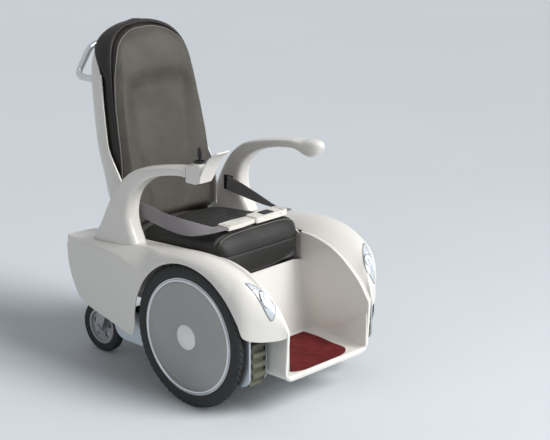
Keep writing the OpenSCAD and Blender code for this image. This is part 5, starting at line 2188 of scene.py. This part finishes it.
@dataclass
class DriveWheels:
    """Main wheels: treaded tyre, satin cover, bright ring and domed cap."""

    radius: float = 225.0
    width: float = 27.0
    middle: float = 297.0
    blocks: int = 66
    steps: int = 528
    around: int = 128
    groove: float = 2.6
    sipe: float = 3.6
    sipe_share: float = 0.3
    tyre_line: Line = ((41, -0.72), (38, -0.86), (32, -0.97), (25, -1.0), (19, -0.975),
                       (14, -0.915), (10.5, -0.83))
    tread: Sequence[float] = (-0.74, -0.64, -0.53, -0.42, -0.3, -0.2, -0.13, -0.06)
    cover_line: Line = (
        (24, 308), (171, 308), (171, 310.2), (150, 311.2), (147, 310.7), (143, 311.4), (96, 312.4),
        (60, 313.0), (56, 312.3), (52, 313.1), (24, 313))
    bead_foot: Line = ((171.2, 308), (180, 308))
    bead_middle: Pair = (175.6, 309.2)
    bead_size: Pair = (4.4, 3.2)
    cap_line: Line = (
        (0, 313), (40, 313), (40, 313.8), (39.4, 314.6), (37, 315.9), (33, 317.4), (27, 319),
        (19, 320.3), (10, 320.9), (0, 321))

    def sunk(self, t: float, turn: float) -> float:
        """Depth of the tread's gaps at a share t across and a share of a turn.

        Args:
            t: Share across the tyre.
            turn: Share of a turn.

        Returns:
            The depth.
        """
        if abs(t) < 0.1:
            return self.groove
        phase = (turn * self.blocks + (0.5 if t > 0 else 0.0) + 0.5 * abs(t)) % 1.0
        return self.sipe if phase < self.sipe_share else 0.0

    def tyre(self, side: Side) -> Piece:
        """Tyre with staggered tread blocks.

        Args:
            side: Side of the chair.

        Returns:
            The tyre.
        """
        profile = [(self.radius - a, t, False) for a, t in self.tyre_line]
        profile += [(self.radius - 12.5 * abs(t) ** 2.3, t, True) for t in self.tread]
        profile += [(r, -t, treaded) for r, t, treaded in reversed(profile)]
        rings = []
        for radius, t, treaded in [*profile, profile[0]]:
            x = self.middle + self.width / 2 * t
            ring = []
            for a in turns(self.steps):
                r = radius - (self.sunk(t, a / (2 * math.pi)) if treaded else 0.0)
                ring.append((x, r * math.cos(a), AXLE_Z + r * math.sin(a)))
            rings.append(side.place(ring))
        return loft(f"road_tyre_{side.word}", rings, True)

    def trim_line(self) -> list[Pair]:
        """Outline of the bright ring as radius and X.

        Returns:
            The outline.
        """
        (r, x), (a, b) = self.bead_middle, self.bead_size
        bow = [(r + a * math.cos(t), x + b * math.sin(t)) for t in span(0.0, math.pi, 12)]
        return [*self.bead_foot, *bow, self.bead_foot[0]]

    def build(self) -> None:
        """Builds and dresses both wheels."""
        cover = rounded(self.cover_line, 2.0, 3)
        for side in Side:
            body = f"wheel_{side.word}"
            dress(self.tyre(side), 32, TYRE_BLACK, body, "tyre_black", f"wheel_tyre_{side.word}")
            for name, node, line, finish, slot in (
                    ("cover_disc", "wheel_cover", [*cover, cover[0]], COVER_SATIN, "wheel_cover"),
                    ("trim_bead", "trim_ring", self.trim_line(), CHROME, "chrome_tube"),
                    ("hub_dome", "hub_cap", self.cap_line, CAP_WHITE, "cap_white")):
                line = [(r, side.value * x) for r, x in line]
                piece = lathe(f"{name}_{side.word}", line, (0, AXLE_Z), Axis.X, self.around)
                dress(piece, 30, finish, body, slot, f"{node}_{side.word}")


@dataclass
class Casters:
    """Rear caster tyres."""

    x: float = 172.0
    axle: Pair = (545.0, 88.0)
    half: float = 17.0
    around: int = 96
    line: Line = ((60, -0.8), (63, -0.86), (70, -0.98), (76, -1.0), (80, -0.96), (84, -0.82),
                  (86.6, -0.6), (87.7, -0.34), (88, -0.12))

    def build(self) -> None:
        """Builds and dresses both tyres."""
        line = [*self.line, *((r, -t) for r, t in reversed(self.line)), self.line[0]]
        for side in Side:
            profile = [(r, side.value * (self.x + self.half * t)) for r, t in line]
            piece = lathe(f"caster_tread_{side.word}", profile, self.axle, Axis.X, self.around)
            dress(piece, 40, TYRE_BLACK, f"caster_wheel_{side.word}", "tyre_black",
                  f"caster_tyre_{side.word}")


@dataclass(frozen=True)
class Leg:
    """Straight run of a belt, and the turn round the wheel at its end."""

    start: Vector
    way: Vector
    normal: Vector
    centre: Vector
    radius: float
    turn: float

    @property
    def arc(self) -> float:
        """Length of the turn."""
        return self.turn * self.radius


@dataclass
class Crawlers:
    """Track belts with chamfered lugs."""

    centres: Sequence[Pair] = ((-200, 146), (320, 172), (-200, 275))
    radii: Sequence[float] = (22, 32, 22)
    middle: float = 240.0
    width: float = 56.0
    belt_out: float = 6.3
    belt_line: Line = (
        (-28, -6.0), (28, -6.0), (28, -1.4), (26.6, 0.0), (-26.4, 0.0), (-28, -1.4))
    belt_steps: int = 360
    lug_line: Line = ((-9, -1.5), (9, -1.5), (7, 12), (-7, 12))
    lug_round: float = 1.3
    pitch: float = 31.5

    def normal(self, i: int) -> Vector:
        """Outward normal of the straight run that leaves wheel i.

        Args:
            i: Number of the wheel.

        Returns:
            The normal.
        """
        j = (i + 1) % len(self.centres)
        d = Vector(self.centres[j]) - Vector(self.centres[i])
        u = d.normalized()
        e = (self.radii[i] - self.radii[j]) / d.length
        return u * e + Vector((u.y, -u.x)) * math.sqrt(1 - e * e)

    def legs(self) -> list[Leg]:
        """Runs of the belt's outer face in order.

        Returns:
            The runs.
        """
        out = []
        for i in range(len(self.centres)):
            j = (i + 1) % len(self.centres)
            n, m = self.normal(i), self.normal(j)
            start, end = (Vector(self.centres[k]) + n * (self.radii[k] + self.belt_out)
                          for k in (i, j))
            turn = (math.atan2(m.y, m.x) - math.atan2(n.y, n.x)) % (2 * math.pi)
            out.append(Leg(start, end - start, n, Vector(self.centres[j]),
                           self.radii[j] + self.belt_out, turn))
        return out

    def spot(self, legs: Sequence[Leg], s: float) -> tuple[Vector, Vector]:
        """Point at a distance s along the belt's outer face, and its outward normal.

        Args:
            legs: Runs of the belt.
            s: Distance along it.

        Returns:
            Point and normal.
        """
        for leg in cycle(legs):
            run = leg.way.length
            if s <= run:
                return leg.start + leg.way * s / run, leg.normal
            s -= run
            if s <= leg.arc:
                t = math.atan2(leg.normal.y, leg.normal.x) + s / leg.radius
                d = Vector((math.cos(t), math.sin(t)))
                return leg.centre + d * leg.radius, d
            s -= leg.arc

    def build(self) -> None:
        """Builds and dresses both belts."""
        legs = self.legs()
        total = sum(leg.way.length + leg.arc for leg in legs)
        count = round(total / self.pitch)
        marks = [self.spot(legs, total * k / self.belt_steps) for k in range(self.belt_steps)]
        for side in Side:
            rings = [side.place([(self.middle + x, p.x + n.x * h, p.y + n.y * h)
                                 for x, h in self.belt_line]) for p, n in marks]
            belt = loft("belt_band", rings + [rings[0]], True)
            ends = (side.value * self.middle + half for half in (-self.width / 2, self.width / 2))
            base = prism("lug", self.lug_line, *ends, Axis.X)
            round_edges(base, self.lug_round, 2)
            lugs = []
            for k in range(count):
                p, n = self.spot(legs, (k + 0.5) * total / count)
                turn = Matrix.Rotation(math.atan2(n.y, n.x) - QUARTER, 4, "X")
                home = Matrix.Translation(-at(0, 0, 0))
                place = Matrix.Translation(at(0, p.x, p.y)) @ turn @ home
                lugs.append(copied(base, f"lug_{k}", place))
            bpy.data.objects.remove(base, do_unlink=True)
            piece = joined(f"track_tread_{side.word}", [belt, *lugs])
            dress(piece, 35, TRACK_RUBBER, "crawlers", "track_rubber", f"track_belt_{side.word}")


def main() -> None:
    """Loads the frame and builds each sub-assembly in turn."""
    logging.basicConfig(level=logging.INFO, format="%(name)s: %(message)s")
    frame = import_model()
    Stage().build()
    dress_nodes(frame["nodes"])
    fenders = Fenders()
    fenders.build()
    Headlamps(fenders).build()
    Footwell().build()
    Arms().build(fenders)
    Seat().build()
    Backrest().build()
    LapBelt().build()
    Controls().build()
    DriveWheels().build()
    Casters().build()
    Crawlers().build()


if __name__ == "__main__":
    main()
